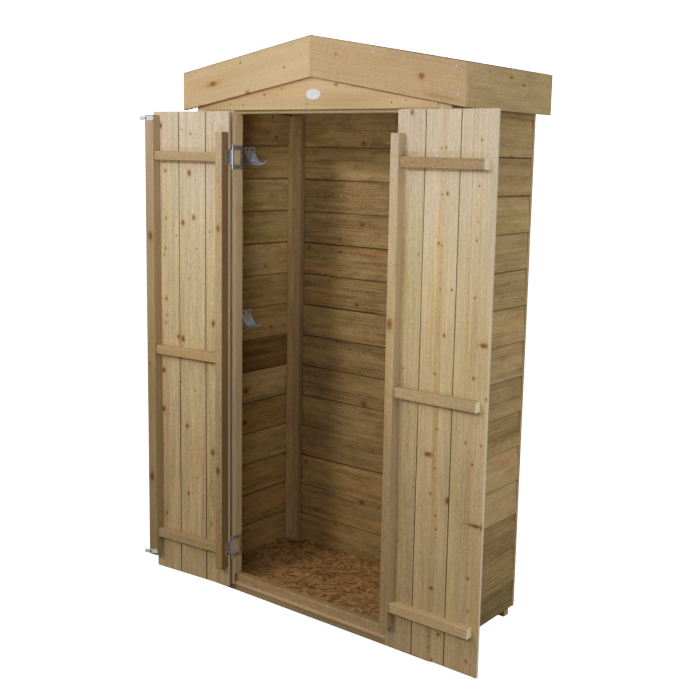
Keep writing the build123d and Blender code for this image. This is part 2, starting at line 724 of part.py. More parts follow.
with BuildPart(right_plane) as right_door_ledges:
    for z in ledge_z:
        block(-(stile_x1 + 0.3), -(edge_off + ledge_right_end), inner_y, inner_y + ledge_t, z, z + ledge_h)
    chamfer(
        right_door_ledges.edges().filter_by(lambda e: abs(e.tangent_at(0.5).dot(right_plane.x_dir)) > 0.99)
        .filter_by(lambda e: right_plane.to_local_coords(e.center()).Y > inner_y + 1.0),
        1.5,
    )
right_door_ledges.part.label = "right_door_ledges"
export_step(right_door_ledges.part, "parts/right_door_ledges.step")

# Meeting batten on the left door: stands past the free edge, behind the right door
meet_a, meet_b = edge_off + meet_in, edge_off + meet_out
meet_rebate = edge_off + door_w - 0.5
with BuildPart() as left_door_meeting_batten:
    with BuildSketch(left_plane.offset(meet_bottom)):
        Polygon(
            (meet_a, inner_y), (meet_rebate, inner_y), (meet_rebate + 1.2, inner_y + 1.2),
            (meet_b - 1.2, inner_y + 1.2), (meet_b, inner_y + 2.4),
            (meet_b, inner_y + stile_t - 1.5), (meet_b - 1.5, inner_y + stile_t),
            (meet_a + 1.5, inner_y + stile_t), (meet_a, inner_y + stile_t - 1.5),
            align=None,
        )
    extrude(amount=meet_top - meet_bottom)
left_door_meeting_batten.part.label = "left_door_meeting_batten"
export_step(left_door_meeting_batten.part, "parts/left_door_meeting_batten.step")

# Small hinge leaves, flat on the doors' hinge edges
with BuildPart(left_plane) as left_hinge_door_leaves:
    for zc in hinge_z:
        block(edge_off - leaf_t, edge_off, 0, door_leaf_d, zc - small_half, zc + small_half)
        with Locations((0, 0, zc)):
            Cylinder(knuckle_r, 2 * small_half)
            Cylinder(bore_r, 2 * small_half + 1.0, mode=Mode.SUBTRACT)
left_hinge_door_leaves.part.label = "left_hinge_door_leaves"
export_step(left_hinge_door_leaves.part, "parts/left_hinge_door_leaves.step")

with BuildPart(right_plane) as right_hinge_door_leaves:
    for zc in hinge_z:
        block(-(edge_off - leaf_t), -edge_off, 0, door_leaf_d, zc - small_half, zc + small_half)
        with Locations((0, 0, zc)):
            Cylinder(knuckle_r, 2 * small_half)
            Cylinder(bore_r, 2 * small_half + 1.0, mode=Mode.SUBTRACT)
right_hinge_door_leaves.part.label = "right_hinge_door_leaves"
export_step(right_hinge_door_leaves.part, "parts/right_hinge_door_leaves.step")

leaf_screws = [(23.0, -15.0), (25.5, 0.0), (23.0, 15.0)]
with BuildPart(left_plane) as left_hinge_door_screws:
    for zc in hinge_z:
        for ly, dz in leaf_screws:
            with Locations(Location((edge_off - leaf_t, ly, zc + dz), (0, -90, 0))):
                Cylinder(screw_head_r, screw_head_t, align=(Align.CENTER, Align.CENTER, Align.MIN))
                Cylinder(screw_r, screw_len, align=(Align.CENTER, Align.CENTER, Align.MAX))
left_hinge_door_screws.part.label = "left_hinge_door_screws"
export_step(left_hinge_door_screws.part, "parts/left_hinge_door_screws.step")

with BuildPart(right_plane) as right_hinge_door_screws:
    for zc in hinge_z:
        for ly, dz in leaf_screws:
            with Locations(Location((-(edge_off - leaf_t), ly, zc + dz), (0, 90, 0))):
                Cylinder(screw_head_r, screw_head_t, align=(Align.CENTER, Align.CENTER, Align.MIN))
                Cylinder(screw_r, screw_len, align=(Align.CENTER, Align.CENTER, Align.MAX))
right_hinge_door_screws.part.label = "right_hinge_door_screws"
export_step(right_hinge_door_screws.part, "parts/right_hinge_door_screws.step")

# Nails through the boards into ledges and battens, heads on the outer face
nail_s = (48.0, 130.0, 180.0, 238.0)
with BuildPart(left_plane) as left_door_nails:
    for z in ledge_z:
        for ns in nail_s:
            with Locations(Location((edge_off + ns, outer_y, z + ledge_h / 2), (90, 0, 0))):
                Cylinder(2.6, 0.5, align=(Align.CENTER, Align.CENTER, Align.MIN))
                Cylinder(1.2, 9.5, align=(Align.CENTER, Align.CENTER, Align.MAX))
    for z in (330.0, 560.0, 1030.0, 1260.0):
        for ns in (14.0, 310.0):
            with Locations(Location((edge_off + ns, outer_y, z), (90, 0, 0))):
                Cylinder(2.6, 0.5, align=(Align.CENTER, Align.CENTER, Align.MIN))
                Cylinder(1.2, 9.5, align=(Align.CENTER, Align.CENTER, Align.MAX))
left_door_nails.part.label = "left_door_nails"
export_step(left_door_nails.part, "parts/left_door_nails.step")

with BuildPart(right_plane) as right_door_nails:
    for z in ledge_z:
        for ns in nail_s:
            with Locations(Location((-(edge_off + ns), outer_y, z + ledge_h / 2), (90, 0, 0))):
                Cylinder(2.6, 0.5, align=(Align.CENTER, Align.CENTER, Align.MIN))
                Cylinder(1.2, 9.5, align=(Align.CENTER, Align.CENTER, Align.MAX))
    for z in (330.0, 560.0, 1030.0, 1260.0):
        with Locations(Location((-(edge_off + 14.0), outer_y, z), (90, 0, 0))):
            Cylinder(2.6, 0.5, align=(Align.CENTER, Align.CENTER, Align.MIN))
            Cylinder(1.2, 9.5, align=(Align.CENTER, Align.CENTER, Align.MAX))
right_door_nails.part.label = "right_door_nails"
export_step(right_door_nails.part, "parts/right_door_nails.step")

# Turn buttons on the meeting batten's inner face, each on one round-headed screw
button_y0 = inner_y + stile_t + 0.5
button_y1 = button_y0 + button_t

with BuildPart(left_plane) as turn_button_bottom:
    with Locations(Location((edge_off + button_s, (button_y0 + button_y1) / 2, button_z[0]), (0, button_tilt[0], 0))):
        Box(button_len - button_w, button_t, button_w)
    for s in (-1, 1):
        t = math.radians(button_tilt[0])
        r = (button_len - button_w) / 2
        with Locations(
            Location(
                (edge_off + button_s + s * r * math.cos(t), (button_y0 + button_y1) / 2, button_z[0] - s * r * math.sin(t)),
                (90, 0, 0),
            )
        ):
            Cylinder(button_w / 2, button_t)
    with Locations(Location((edge_off + button_s, (button_y0 + button_y1) / 2, button_z[0]), (90, 0, 0))):
        Cylinder(2.05, 2 * button_t, mode=Mode.SUBTRACT)
turn_button_bottom.part.label = "turn_button_bottom"
export_step(turn_button_bottom.part, "parts/turn_button_bottom.step")

with BuildPart(left_plane) as turn_button_top:
    with Locations(Location((edge_off + button_s, (button_y0 + button_y1) / 2, button_z[1]), (0, button_tilt[1], 0))):
        Box(button_len - button_w, button_t, button_w)
    for s in (-1, 1):
        with Locations(
            Location(
                (edge_off + button_s + s * (button_len - button_w) / 2, (button_y0 + button_y1) / 2, button_z[1]),
                (90, 0, 0),
            )
        ):
            Cylinder(button_w / 2, button_t)
    with Locations(Location((edge_off + button_s, (button_y0 + button_y1) / 2, button_z[1]), (90, 0, 0))):
        Cylinder(2.05, 2 * button_t, mode=Mode.SUBTRACT)
turn_button_top.part.label = "turn_button_top"
export_step(turn_button_top.part, "parts/turn_button_top.step")

with BuildPart(left_plane) as button_screws:
    for z in button_z:
        with Locations(Location((edge_off + button_s, button_y1 + 0.4, z), (-90, 0, 0))):
            Cylinder(4.2, 1.8, align=(Align.CENTER, Align.CENTER, Align.MIN))
            Cylinder(2.0, 22.0, align=(Align.CENTER, Align.CENTER, Align.MAX))
    # washer that spaces each button off the batten
    for z in button_z:
        with Locations(Location((edge_off + button_s, inner_y + stile_t, z), (-90, 0, 0))):
            Cylinder(4.0, 0.15, align=(Align.CENTER, Align.CENTER, Align.MIN))
button_screws.part.label = "button_screws"
export_step(button_screws.part, "parts/button_screws.step")

# Pad bolt on the right door's outer face and its keep on the left door
bolt_y = outer_y - bolt_out
with BuildPart(right_plane) as pad_bolt_body:
    block(-(edge_off + 228.0), -(edge_off + 316.0), outer_y - 2.0, outer_y, bolt_z - 18.0, bolt_z + 18.0)
    for s0, s1 in ((234.0, 246.0), (298.0, 310.0)):
        block(-(edge_off + s0), -(edge_off + s1), bolt_y, outer_y - 1.0, bolt_z - 7.5, bolt_z + 7.5)
        with Locations(Location((-(edge_off + (s0 + s1) / 2), bolt_y, bolt_z), (0, 90, 0))):
            Cylinder(7.5, s1 - s0)
    with Locations(Location((-(edge_off + 272.0), bolt_y, bolt_z), (0, 90, 0))):
        Cylinder(bolt_r + 0.06, 100.0, mode=Mode.SUBTRACT)
    for sx in (233.0, 311.5):
        for dz in (-13.0, 13.0):
            with Locations(Location((-(edge_off + sx), outer_y - 2.0, bolt_z + dz), (90, 0, 0))):
                Cylinder(2.8, 1.2, align=(Align.CENTER, Align.CENTER, Align.MIN))
pad_bolt_body.part.label = "pad_bolt_body"
export_step(pad_bolt_body.part, "parts/pad_bolt_body.step")

with BuildPart(right_plane) as pad_bolt_slide:
    with Locations(Location((-(edge_off + 258.0), bolt_y, bolt_z), (0, 90, 0))):
        Cylinder(bolt_r, 120.0)
        chamfer(pad_bolt_slide.edges().filter_by(GeomType.CIRCLE), 0.8)
    with Locations(Location((-(edge_off + 254.0), bolt_y - 3.0, bolt_z), (90, 0, 0))):
        Cylinder(3.2, 17.0, align=(Align.CENTER, Align.CENTER, Align.MIN))
    with Locations(Location((-(edge_off + 254.0), bolt_y - 19.0, bolt_z), (90, 0, 0))):
        Cylinder(5.0, 4.0, align=(Align.CENTER, Align.CENTER, Align.MIN))
pad_bolt_slide.part.label = "pad_bolt_slide"
export_step(pad_bolt_slide.part, "parts/pad_bolt_slide.step")

with BuildPart(left_plane) as bolt_keep:
    block(edge_off + 286.0, edge_off + 318.0, outer_y - 2.0, outer_y, bolt_z - 18.0, bolt_z + 18.0)
    block(edge_off + 296.0, edge_off + 308.0, bolt_y, outer_y - 1.0, bolt_z - 8.5, bolt_z + 8.5)
    with Locations(Location((edge_off + 302.0, bolt_y, bolt_z), (0, 90, 0))):
        Cylinder(8.5, 12.0)
        Cylinder(bolt_r + 0.7, 40.0, mode=Mode.SUBTRACT)
    for dz in (-13.0, 13.0):
        with Locations(Location((edge_off + 302.0, outer_y - 2.0, bolt_z + dz), (90, 0, 0))):
            Cylinder(2.8, 1.2, align=(Align.CENTER, Align.CENTER, Align.MIN))
bolt_keep.part.label = "bolt_keep"
export_step(bolt_keep.part, "parts/bolt_keep.step")
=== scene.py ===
"""Looks of the garden storage cabinet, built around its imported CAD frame.

Every board gets its own grown pine: rings about a pith, sap streaks, blotches, knots, sawn ends and edges,
all from nodes in the frame's own coordinates, so the figure stays on the board when a door swings.
"""

import math
import random

import bpy
from mathutils import Matrix, Vector


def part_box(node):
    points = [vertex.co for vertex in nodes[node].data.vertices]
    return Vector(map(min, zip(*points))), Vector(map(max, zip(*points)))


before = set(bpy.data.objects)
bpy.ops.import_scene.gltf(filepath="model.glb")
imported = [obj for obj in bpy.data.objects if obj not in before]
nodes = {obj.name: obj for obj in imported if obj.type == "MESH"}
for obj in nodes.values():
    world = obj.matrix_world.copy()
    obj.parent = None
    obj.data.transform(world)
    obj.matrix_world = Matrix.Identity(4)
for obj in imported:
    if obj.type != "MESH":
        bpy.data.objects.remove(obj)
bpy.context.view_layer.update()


# ------------------------------------------------------------------ node helpers


class Tree:
    """A material's node tree, with short calls for the sums that a grown pattern needs."""

    def __init__(self, name):
        self.mat = bpy.data.materials.new(name)
        self.mat.use_nodes = True
        self.t = self.mat.node_tree
        self.t.nodes.clear()
        tc = self.node("ShaderNodeTexCoord")
        self.P, self.N = tc.outputs["Object"], tc.outputs["Normal"]
        self.out = self.node("ShaderNodeOutputMaterial")

    def node(self, kind, **props):
        n = self.t.nodes.new(kind)
        for k, v in props.items():
            setattr(n, k, v)
        return n

    def put(self, sock, v):
        if isinstance(v, bpy.types.NodeSocket):
            self.t.links.new(v, sock)
        elif v is not None:
            if sock.type == "RGBA" and len(v) == 3:
                v = (*v, 1.0)
            sock.default_value = v

    def m(self, op, a, b=None, c=None, clamp=False):
        n = self.node("ShaderNodeMath", operation=op, use_clamp=clamp)
        for s, v in zip(n.inputs, (a, b, c)):
            self.put(s, v)
        return n.outputs[0]

    def add(self, a, b):
        return self.m("ADD", a, b)

    def sub(self, a, b):
        return self.m("SUBTRACT", a, b)

    def mul(self, a, b):
        return self.m("MULTIPLY", a, b)

    def mad(self, a, b, c):
        return self.m("MULTIPLY_ADD", a, b, c)

    def low(self, a, b):
        return self.m("MINIMUM", a, b)

    def high(self, a, b):
        return self.m("MAXIMUM", a, b)

    def v(self, op, a, b=None, c=None):
        n = self.node("ShaderNodeVectorMath", operation=op)
        for s, v in zip(n.inputs, (a, b, c)):
            self.put(s, v)
        return n.outputs[
            "Value" if op in ("DOT_PRODUCT", "LENGTH", "DISTANCE") else "Vector"
        ]

    def dot(self, vec, c):
        return self.v("DOT_PRODUCT", vec, tuple(c))

    def vec(self, x, y=0.0, z=0.0):
        n = self.node("ShaderNodeCombineXYZ")
        for s, v in zip(n.inputs, (x, y, z)):
            self.put(s, v)
        return n.outputs[0]

    def parts(self, vec):
        n = self.node("ShaderNodeSeparateXYZ")
        self.put(n.inputs[0], vec)
        return n.outputs[0], n.outputs[1], n.outputs[2]

    def step(self, x, lo, hi, a=0.0, b=1.0):
        """A smooth rise from a at lo to b at hi."""
        n = self.node("ShaderNodeMapRange", interpolation_type="SMOOTHSTEP")
        for s, v in zip(n.inputs, (x, lo, hi, a, b)):
            self.put(s, v)
        return n.outputs[0]

    def noise(self, vec, size, seed=0.0, detail=2.0, rough=0.5, distort=0.0):
        """Noise whose grains are about size (three numbers) in the units of vec."""
        n = self.node("ShaderNodeTexNoise", noise_dimensions="3D")
        scaled = self.v(
            "MULTIPLY_ADD",
            vec,
            tuple(1.0 / s for s in size),
            (seed * 1.37, seed * 2.11 + 3.7, seed * 0.73 + 9.1),
        )
        self.put(n.inputs["Vector"], scaled)
        n.inputs["Scale"].default_value = 1.0
        n.inputs["Detail"].default_value = detail
        n.inputs["Roughness"].default_value = rough
        n.inputs["Distortion"].default_value = distort
        return n.outputs[0]

    def white(self, w):
        n = self.node("ShaderNodeTexWhiteNoise", noise_dimensions="1D")
        self.put(n.inputs["W"], w)
        return self.parts(n.outputs["Color"])

    def cells(self, vec, scale=1.0, dims="3D", feature="F1", randomness=1.0):
        n = self.node("ShaderNodeTexVoronoi", voronoi_dimensions=dims, feature=feature)
        self.put(n.inputs["Vector"], vec)
        n.inputs["Scale"].default_value = scale
        n.inputs["Randomness"].default_value = randomness
        return n

    def mix(self, f, a, b, kind="MIX"):
        n = self.node("ShaderNodeMix", data_type="RGBA", blend_type=kind)
        self.put(n.inputs[0], f)
        self.put(n.inputs[6], a)
        self.put(n.inputs[7], b)
        return n.outputs[2]

    def scale(self, colour, f):
        """colour times the number f."""
        n = self.node("ShaderNodeVectorMath", operation="SCALE")
        if isinstance(colour, tuple):
            colour = colour[:3]
        self.put(n.inputs[0], colour)
        self.put(n.inputs["Scale"], f)
        return n.outputs["Vector"]

    def bump(self, height, strength, distance, normal=None):
        n = self.node("ShaderNodeBump")
        n.inputs["Strength"].default_value = strength
        n.inputs["Distance"].default_value = distance
        self.put(n.inputs["Height"], height)
        if normal is not None:
            self.put(n.inputs["Normal"], normal)
        return n.outputs[0]

    def surface(self, colour, rough, normal=None, metal=0.0, spec=0.5):
        b = self.node("ShaderNodeBsdfPrincipled")
        self.put(b.inputs["Base Color"], colour)
        self.put(b.inputs["Roughness"], rough)
        b.inputs["Metallic"].default_value = metal
        b.inputs["Specular IOR Level"].default_value = spec
        if normal is not None:
            self.put(b.inputs["Normal"], normal)
        self.t.links.new(b.outputs[0], self.out.inputs[0])
        return self.mat


# ------------------------------------------------------------------ pine

# early wood, late wood, and the tint that a green or a red patch takes
PALE = dict(early=(0.570, 0.432, 0.268), late=(0.415, 0.290, 0.155))
HONEY = dict(early=(0.505, 0.350, 0.206), late=(0.385, 0.246, 0.122))
OLIVE = dict(early=(0.470, 0.358, 0.200), late=(0.265, 0.182, 0.086))
BROWN = dict(early=(0.430, 0.305, 0.155), late=(0.262, 0.168, 0.078))
WALL = dict(early=(0.430, 0.332, 0.178), late=(0.280, 0.190, 0.094))
FRAME = dict(early=(0.480, 0.380, 0.240), late=(0.350, 0.250, 0.142))
BATTEN = dict(early=(0.470, 0.345, 0.203), late=(0.345, 0.232, 0.118))
GREEN = (0.90, 0.97, 0.78)
RED = (1.06, 0.90, 0.72)


def wood(
    name,
    along,
    across,
    through,
    origin=(0.0, 0.0, 0.0),
    shift=0.0,
    seed=1,
    pal=PALE,
    tone=1.0,
    ring=5.5,
    pith=(0.0, -55.0),
    lean=(0.012, 0.006),
    figure=0.55,
    wave=(16.0, 480.0),
    streak=0.11,
    grain=0.10,
    blotch=0.10,
    speck=0.36,
    smudge=0.0,
    green=0.4,
    red=0.35,
    knots=(),
    knot_mix=0.80,
    wild=0.0,
    wild_size=8.0,
    heart=None,
    index=None,
    spread=0.10,
    tones=None,
    tone_from=0,
    cast=0.0,
    mossy=None,
    sawn=0.0,
    end=(0.56, 0.44, 0.28),
    end_mix=0.55,
    edge=None,
    edge_mix=0.25,
    pale_edge=None,
    joints=(),
    joint_mix=0.0,
    damp=0.0,
    damp_span=(1250.0, -150.0),
    lap_shade=None,
    stains_and_shade=(),
):
    """A board's material. along, across and through are its axes, origin the point that its millimetres are
    counted from. knots are (across, along, half width, half length, strength)."""
    g = Tree(name)
    along, across, through = (Vector(a).normalized() for a in (along, across, through))
    o = Vector(origin)

    def measure(axis, less=0.0):
        return g.sub(g.dot(g.P, axis * 1000.0), axis.dot(o) * 1000.0 + less)

    l, w, t = measure(along), measure(across, shift), measure(through)

    # boards that share a node get a number each, and from it a tone, a pith and a place in the noise
    if index is not None:
        k, w = index(g, l, w, t)
        r1, r2, r3 = g.white(g.mad(k, 3.17, seed * 0.61))
        B = g.vec(
            g.mad(r1, 977.0, w),
            g.mad(r2, 613.0, t),
            g.mad(r3, 1511.0, l),
        )
        own = g.mad(g.sub(r2, 0.5), 2.0 * spread, tone)
        for i, t_i in enumerate(tones or (), tone_from):
            own = g.mad(g.m("COMPARE", k, float(i), 0.5), t_i, own)
        w0 = g.mad(g.sub(r1, 0.5), 90.0, pith[0])
        t0 = g.mad(r3, -30.0, pith[1])
    else:
        k = r1 = r2 = r3 = None
        B = g.vec(w, t, l)
        own = tone
        w0, t0 = pith

    # knots: q is the distance from the nearest one, in its own radii
    q = None
    flat = g.vec(w, l)
    for kw, kl, hw, hl, strong in knots:
        d = g.v(
            "LENGTH",
            g.v(
                "MULTIPLY",
                g.v("SUBTRACT", flat, (kw, kl, 0.0)),
                (1.0 / hw, 1.0 / hl, 0.0),
            ),
        )
        if strong < 1.0:
            d = g.add(d, (1.0 - strong) * 0.75)
        q = d if q is None else g.low(q, d)
    if wild > 0.0:
        cell_w, cell_l = 74.0, 210.0
        at_cell = g.v(
            "MULTIPLY_ADD",
            g.vec(w if k is None else g.mad(k, 371.0, w), l),
            (1.0 / cell_w, 1.0 / cell_l, 0.0),
            (seed * 5.31, seed * 3.77, 0.0),
        )
        c = g.cells(at_cell, dims="2D", randomness=0.9)
        away = g.v(
            "MULTIPLY",
            g.v("SUBTRACT", at_cell, c.outputs["Position"]),
            (cell_w, cell_l, 0.0),
        )
        c1, c2, c3 = g.parts(c.outputs["Color"])
        size = g.mad(c2, wild_size, wild_size * 0.35)
        d = g.m("DIVIDE", g.v("LENGTH", g.v("MULTIPLY", away, (1.0, 0.8, 0.0))), size)
        d = g.add(d, g.mul(g.m("GREATER_THAN", c1, wild), 20.0))
        d = g.mad(c3, 0.35, d)
        q = d if q is None else g.low(q, d)
    if q is not None:
        ragged = g.noise(B, (5.0, 5.0, 6.5), seed + 0.3, 2.0)
        q = g.mad(g.sub(ragged, 0.5), 1.25, q)

    # growth rings about a pith that leans and wanders, bent around the knots
    wander = g.noise(B, (130.0, 130.0, wave[1]), seed + 0.7, 2.0, 0.45)
    ripple = g.noise(B, (30.0, 30.0, 0.5 * wave[1]), seed + 1.9, 1.0)
    rw = g.sub(
        g.sub(g.mad(g.sub(wander, 0.5), wave[0], w), w0),
        g.mul(l, lean[0]),
    )
    rt = g.sub(
        g.mad(g.sub(ripple, 0.5), 0.35 * wave[0], g.sub(t, t0)), g.mul(l, lean[1])
    )
    radius = g.m("SQRT", g.add(g.mul(rw, rw), g.mul(rt, rt)))
    if q is not None:
        radius = g.mad(g.step(q, 3.2, 0.8), 6.5, radius)
    turn = g.m("DIVIDE", radius, ring)
    # some years are wide and some are narrow
    turn = g.mad(
        g.noise(g.vec(turn, seed * 3.3), (2.6, 1.0, 1.0), seed, 1.0), 1.6, turn
    )
    year = g.m("FRACT", turn)
    late = g.mul(g.step(year, 0.25, 0.86), g.step(year, 1.0, 0.90))
    year_tone = g.white(g.m("FLOOR", turn))[0]

    strand = g.noise(B, (8.0, 8.0, 300.0), seed + 2.3, 3.0, 0.62)
    sap = g.noise(B, (28.0, 28.0, 430.0), seed + 4.1, 2.0, 0.5)
    fibre = g.noise(B, (1.5, 1.5, 85.0), seed + 5.3, 2.0, 0.6)
    vein = g.noise(B, (3.4, 3.4, 150.0), seed + 3.1, 2.0, 0.6)
    calm = g.noise(B, (38.0, 38.0, 420.0), seed + 9.7, 2.0, 0.5)
    patch = g.noise(B, (95.0, 95.0, 300.0), seed + 6.1, 3.0, 0.55)
    hue = g.noise(B, (60.0, 60.0, 520.0), seed + 8.7, 2.0, 0.5)

    lateness = g.mul(g.mul(late, figure), g.mad(year_tone, 0.8, 0.5))
    lateness = g.mul(lateness, g.step(calm, 0.34, 0.66, 0.25, 1.25))
    lateness = g.mad(g.step(strand, 0.52, 0.80), 0.30, lateness)
    colour = g.mix(
        g.m("MINIMUM", lateness, 1.0), (*pal["early"], 1), (*pal["late"], 1)
    )

    value = g.mad(g.sub(strand, 0.5), streak * 2.6, own)
    value = g.mad(g.sub(sap, 0.5), streak * 2.2, value)
    value = g.mad(g.sub(vein, 0.5), grain * 3.0, value)
    value = g.mad(g.sub(fibre, 0.5), 0.16, value)
    value = g.mad(g.sub(patch, 0.5), blotch * 2.4, value)
    # a sawn face is rough: torn fibres speckle it, and resin leaves short dark dashes
    torn = g.noise(B, (3.0, 3.0, 8.0), seed + 15.7, 1.0, 0.5)
    value = g.mad(g.sub(torn, 0.5), speck, value)
    dash = g.noise(B, (2.2, 2.2, 24.0), seed + 17.9, 1.0, 0.5)
    value = g.mad(g.step(dash, 0.60, 0.78), -0.13, value)
    if smudge > 0.0:
        dirt = g.noise(B, (26.0, 26.0, 105.0), seed + 19.3, 3.0, 0.6, 0.4)
        dirt = g.mul(g.step(dirt, 0.40, 0.78), smudge)
    if sawn > 0.0:
        # the bandsaw leaves fine lines across the grain
        saw = g.noise(B, (60.0, 60.0, 2.2), seed + 11.3, 1.0)
        value = g.mad(g.sub(saw, 0.5), 0.22 * sawn, value)
    if damp > 0.0:
        # painted shade: the board is darker and more saturated towards the ground, standing in for the light falling
        # off downward
        rise = g.mad(g.sub(patch, 0.5), 260.0, g.dot(g.P, (0, 0, 1000.0)))
        low_shade = g.step(rise, *damp_span, 0.0, damp)
        value = g.mul(value, g.sub(1.0, low_shade))
    for j in joints:
        # dirt lies along the joint with the next board
        near = g.step(g.m("ABSOLUTE", g.sub(w, j)), 3.2, 1.0)
        value = g.mul(value, g.sub(1.0, g.mul(near, joint_mix)))
    if lap_shade is not None:
        # painted shade in the step between two boards: outside under the board above, inside over the board below
        outer, inner = lap_shade
        out = g.step(g.dot(g.N, through), 0.3, -0.3)
        lap_shadow = g.mul(g.mul(g.step(w, LAP - 8.0, LAP - 1.5), outer), out)
        below = g.mul(g.step(w, 24.5, 19.0), inner)
        lap_shadow = g.add(lap_shadow, g.mul(below, g.sub(1.0, out)))
        lap_shadow = g.mul(lap_shadow, g.mad(r3, 1.0, 0.40))
        value = g.mul(value, g.sub(1.0, lap_shadow))
    colour = g.scale(colour, value)
    if cast > 0.0:
        # a dark board is the redder heartwood, a pale one the greyer sapwood
        pale = g.mad(g.sub(own, tone), cast, 0.5)
        pale = g.step(pale, 0.0, 1.0)
        colour = g.mix(1.0, colour, g.mix(pale, (1.10, 0.97, 0.80, 1), (0.95, 1.03, 1.16, 1)), "MULTIPLY")
    if mossy is not None:
        # the board next to the ground stays wet and greens over
        low = g.m("COMPARE", k, float(mossy), 0.5)
        colour = g.mix(low, colour, (0.93, 1.01, 0.99, 1), "MULTIPLY")
    if smudge > 0.0:
        colour = g.mix(dirt, colour, (0.34, 0.25, 0.16, 1), "MULTIPLY")
    if damp > 0.0:
        # painted shade: darker and yellower low down
        colour = g.mix(low_shade, colour, (0.96, 0.92, 0.55, 1), "MULTIPLY")
        # painted highlight: paler and bluer near the top, where the lamps glare on the wood
        painted_top_highlight = g.step(rise, 1000.0, 1620.0)
        colour = g.mix(painted_top_highlight, colour, (1.02, 1.05, 1.24, 1), "MULTIPLY")

    g_amount = g.mul(g.step(hue, 0.50, 0.28), green)
    r_amount = g.mul(g.step(hue, 0.52, 0.74), red)
    if index is not None:
        g_amount = g.mul(g_amount, g.mad(r3, 1.3, 0.35))
        r_amount = g.mul(r_amount, g.mad(r1, 1.3, 0.35))
    colour = g.mix(g_amount, colour, (*GREEN, 1), "MULTIPLY")
    colour = g.mix(r_amount, colour, (*RED, 1), "MULTIPLY")

    if heart is not None:
        # a dark reddish line where the saw met the pith
        hw, wide, amount = heart
        line = g.m("ABSOLUTE", g.sub(g.mad(g.sub(wander, 0.5), 14.0, w), hw))
        core = g.mul(
            g.step(line, wide, 0.0),
            g.mad(g.step(strand, 0.35, 0.7), 0.75, 0.25),
        )
        colour = g.mix(
            g.mul(core, amount), colour, (0.70, 0.50, 0.31, 1), "MULTIPLY"
        )

    # each entry darkens a soft patch; on the front gable board the patch is painted shade
    for sw, sl, hw, hl, amount in stains_and_shade:
        d = g.v(
            "LENGTH",
            g.v(
                "MULTIPLY",
                g.v("SUBTRACT", flat, (sw, sl, 0.0)),
                (1.0 / hw, 1.0 / hl, 0.0),
            ),
        )
        soft = g.mul(g.step(d, 1.0, 0.1), g.mad(strand, 0.8, 0.4))
        colour = g.mix(
            g.mul(soft, amount), colour, (0.62, 0.52, 0.36, 1), "MULTIPLY"
        )

    height = g.mad(strand, 0.45, g.mul(fibre, 0.35))
    height = g.mad(late, 0.20, height)
    if q is not None:
        halo = g.step(q, 2.6, 0.7)
        colour = g.mix(g.mul(halo, 0.34), colour, (0.80, 0.64, 0.46, 1), "MULTIPLY")
        core = g.step(q, 1.12, 0.50)
        age = g.m("FRACT", g.mul(q, 3.4))
        inside = g.mix(
            g.mad(g.step(age, 0.35, 0.95), 0.45, g.mul(g.step(q, 0.1, 1.0), 0.25)),
            (0.125, 0.054, 0.021, 1),
            (0.310, 0.158, 0.064, 1),
        )
        colour = g.mix(g.mul(core, knot_mix), colour, inside)
        rim = g.mul(g.step(q, 0.70, 1.0), g.step(q, 1.35, 1.02))
        colour = g.mix(g.mul(rim, 0.22), colour, (0.40, 0.27, 0.15, 1), "MULTIPLY")
        height = g.mad(core, 0.35, height)

    # sawn ends show the rings as arcs on paler, rougher wood, and thin edges are paler too
    at_end = g.step(g.m("ABSOLUTE", g.dot(g.N, along)), 0.72, 0.92)
    pore = g.noise(B, (1.3, 1.3, 8.0), seed + 13.1, 2.0, 0.7)
    end_colour = g.scale(
        g.mix(g.mul(late, 0.75), (*end, 1), tuple(c * 0.66 for c in end) + (1,)),
        g.mad(pore, 0.5, 0.75),
    )
    colour = g.mix(g.mul(at_end, end_mix), colour, end_colour)
    at_edge = g.step(g.m("ABSOLUTE", g.dot(g.N, across)), 0.60, 0.90)
    side = g.scale((*(edge or end), 1), g.mad(strand, 0.5, 0.70))
    if pale_edge is not None:
        # the outer edges of a door are planed and pale; the edge faces inside the joints between its boards keep the
        # edge colour, which on the doors is near black as painted shade in the gaps
        where, shade = pale_edge
        fresh = g.scale((*shade, 1), g.mad(strand, 0.4, 0.8))
        near = g.step(g.m("ABSOLUTE", g.sub(w, where)), 8.0, 4.0)
        side = g.mix(near, side, fresh)
    colour = g.mix(g.mul(at_edge, edge_mix), colour, side)

    rough = g.mad(fibre, 0.16, g.mad(strand, -0.10, 0.66))
    normal = g.bump(height, 0.55, 0.0006)
    return g.surface(colour, rough, normal, spec=0.32)


X, Y, Z = Vector((1, 0, 0)), Vector((0, 1, 0)), Vector((0, 0, 1))


def dress(node, material):
    ob = nodes[node]
    ob.data.materials.clear()
    ob.data.materials.append(material)


# ------------------------------------------------------------------ the doors

FRONT = -0.2355
PIN_X, PIN_Y = 0.32925, FRONT - 0.005
LEFT, RIGHT = math.radians(-175.2), math.radians(179.4)
left_u = Vector((math.cos(LEFT), math.sin(LEFT), 0))
left_n = Vector((-math.sin(LEFT), math.cos(LEFT), 0))
right_u = -Vector((math.cos(RIGHT), math.sin(RIGHT), 0))
right_n = Vector((-math.sin(RIGHT), math.cos(RIGHT), 0))
left_at = (-PIN_X, PIN_Y, 0.0)
right_at = (PIN_X, PIN_Y, 0.0)
EDGE = 3.25


def door(name, side, **kw):
    u, n, at = (
        (left_u, left_n, left_at) if side == "left" else (right_u, right_n, right_at)
    )
    return wood(name, Z, u, n, origin=at, shift=EDGE, **kw)


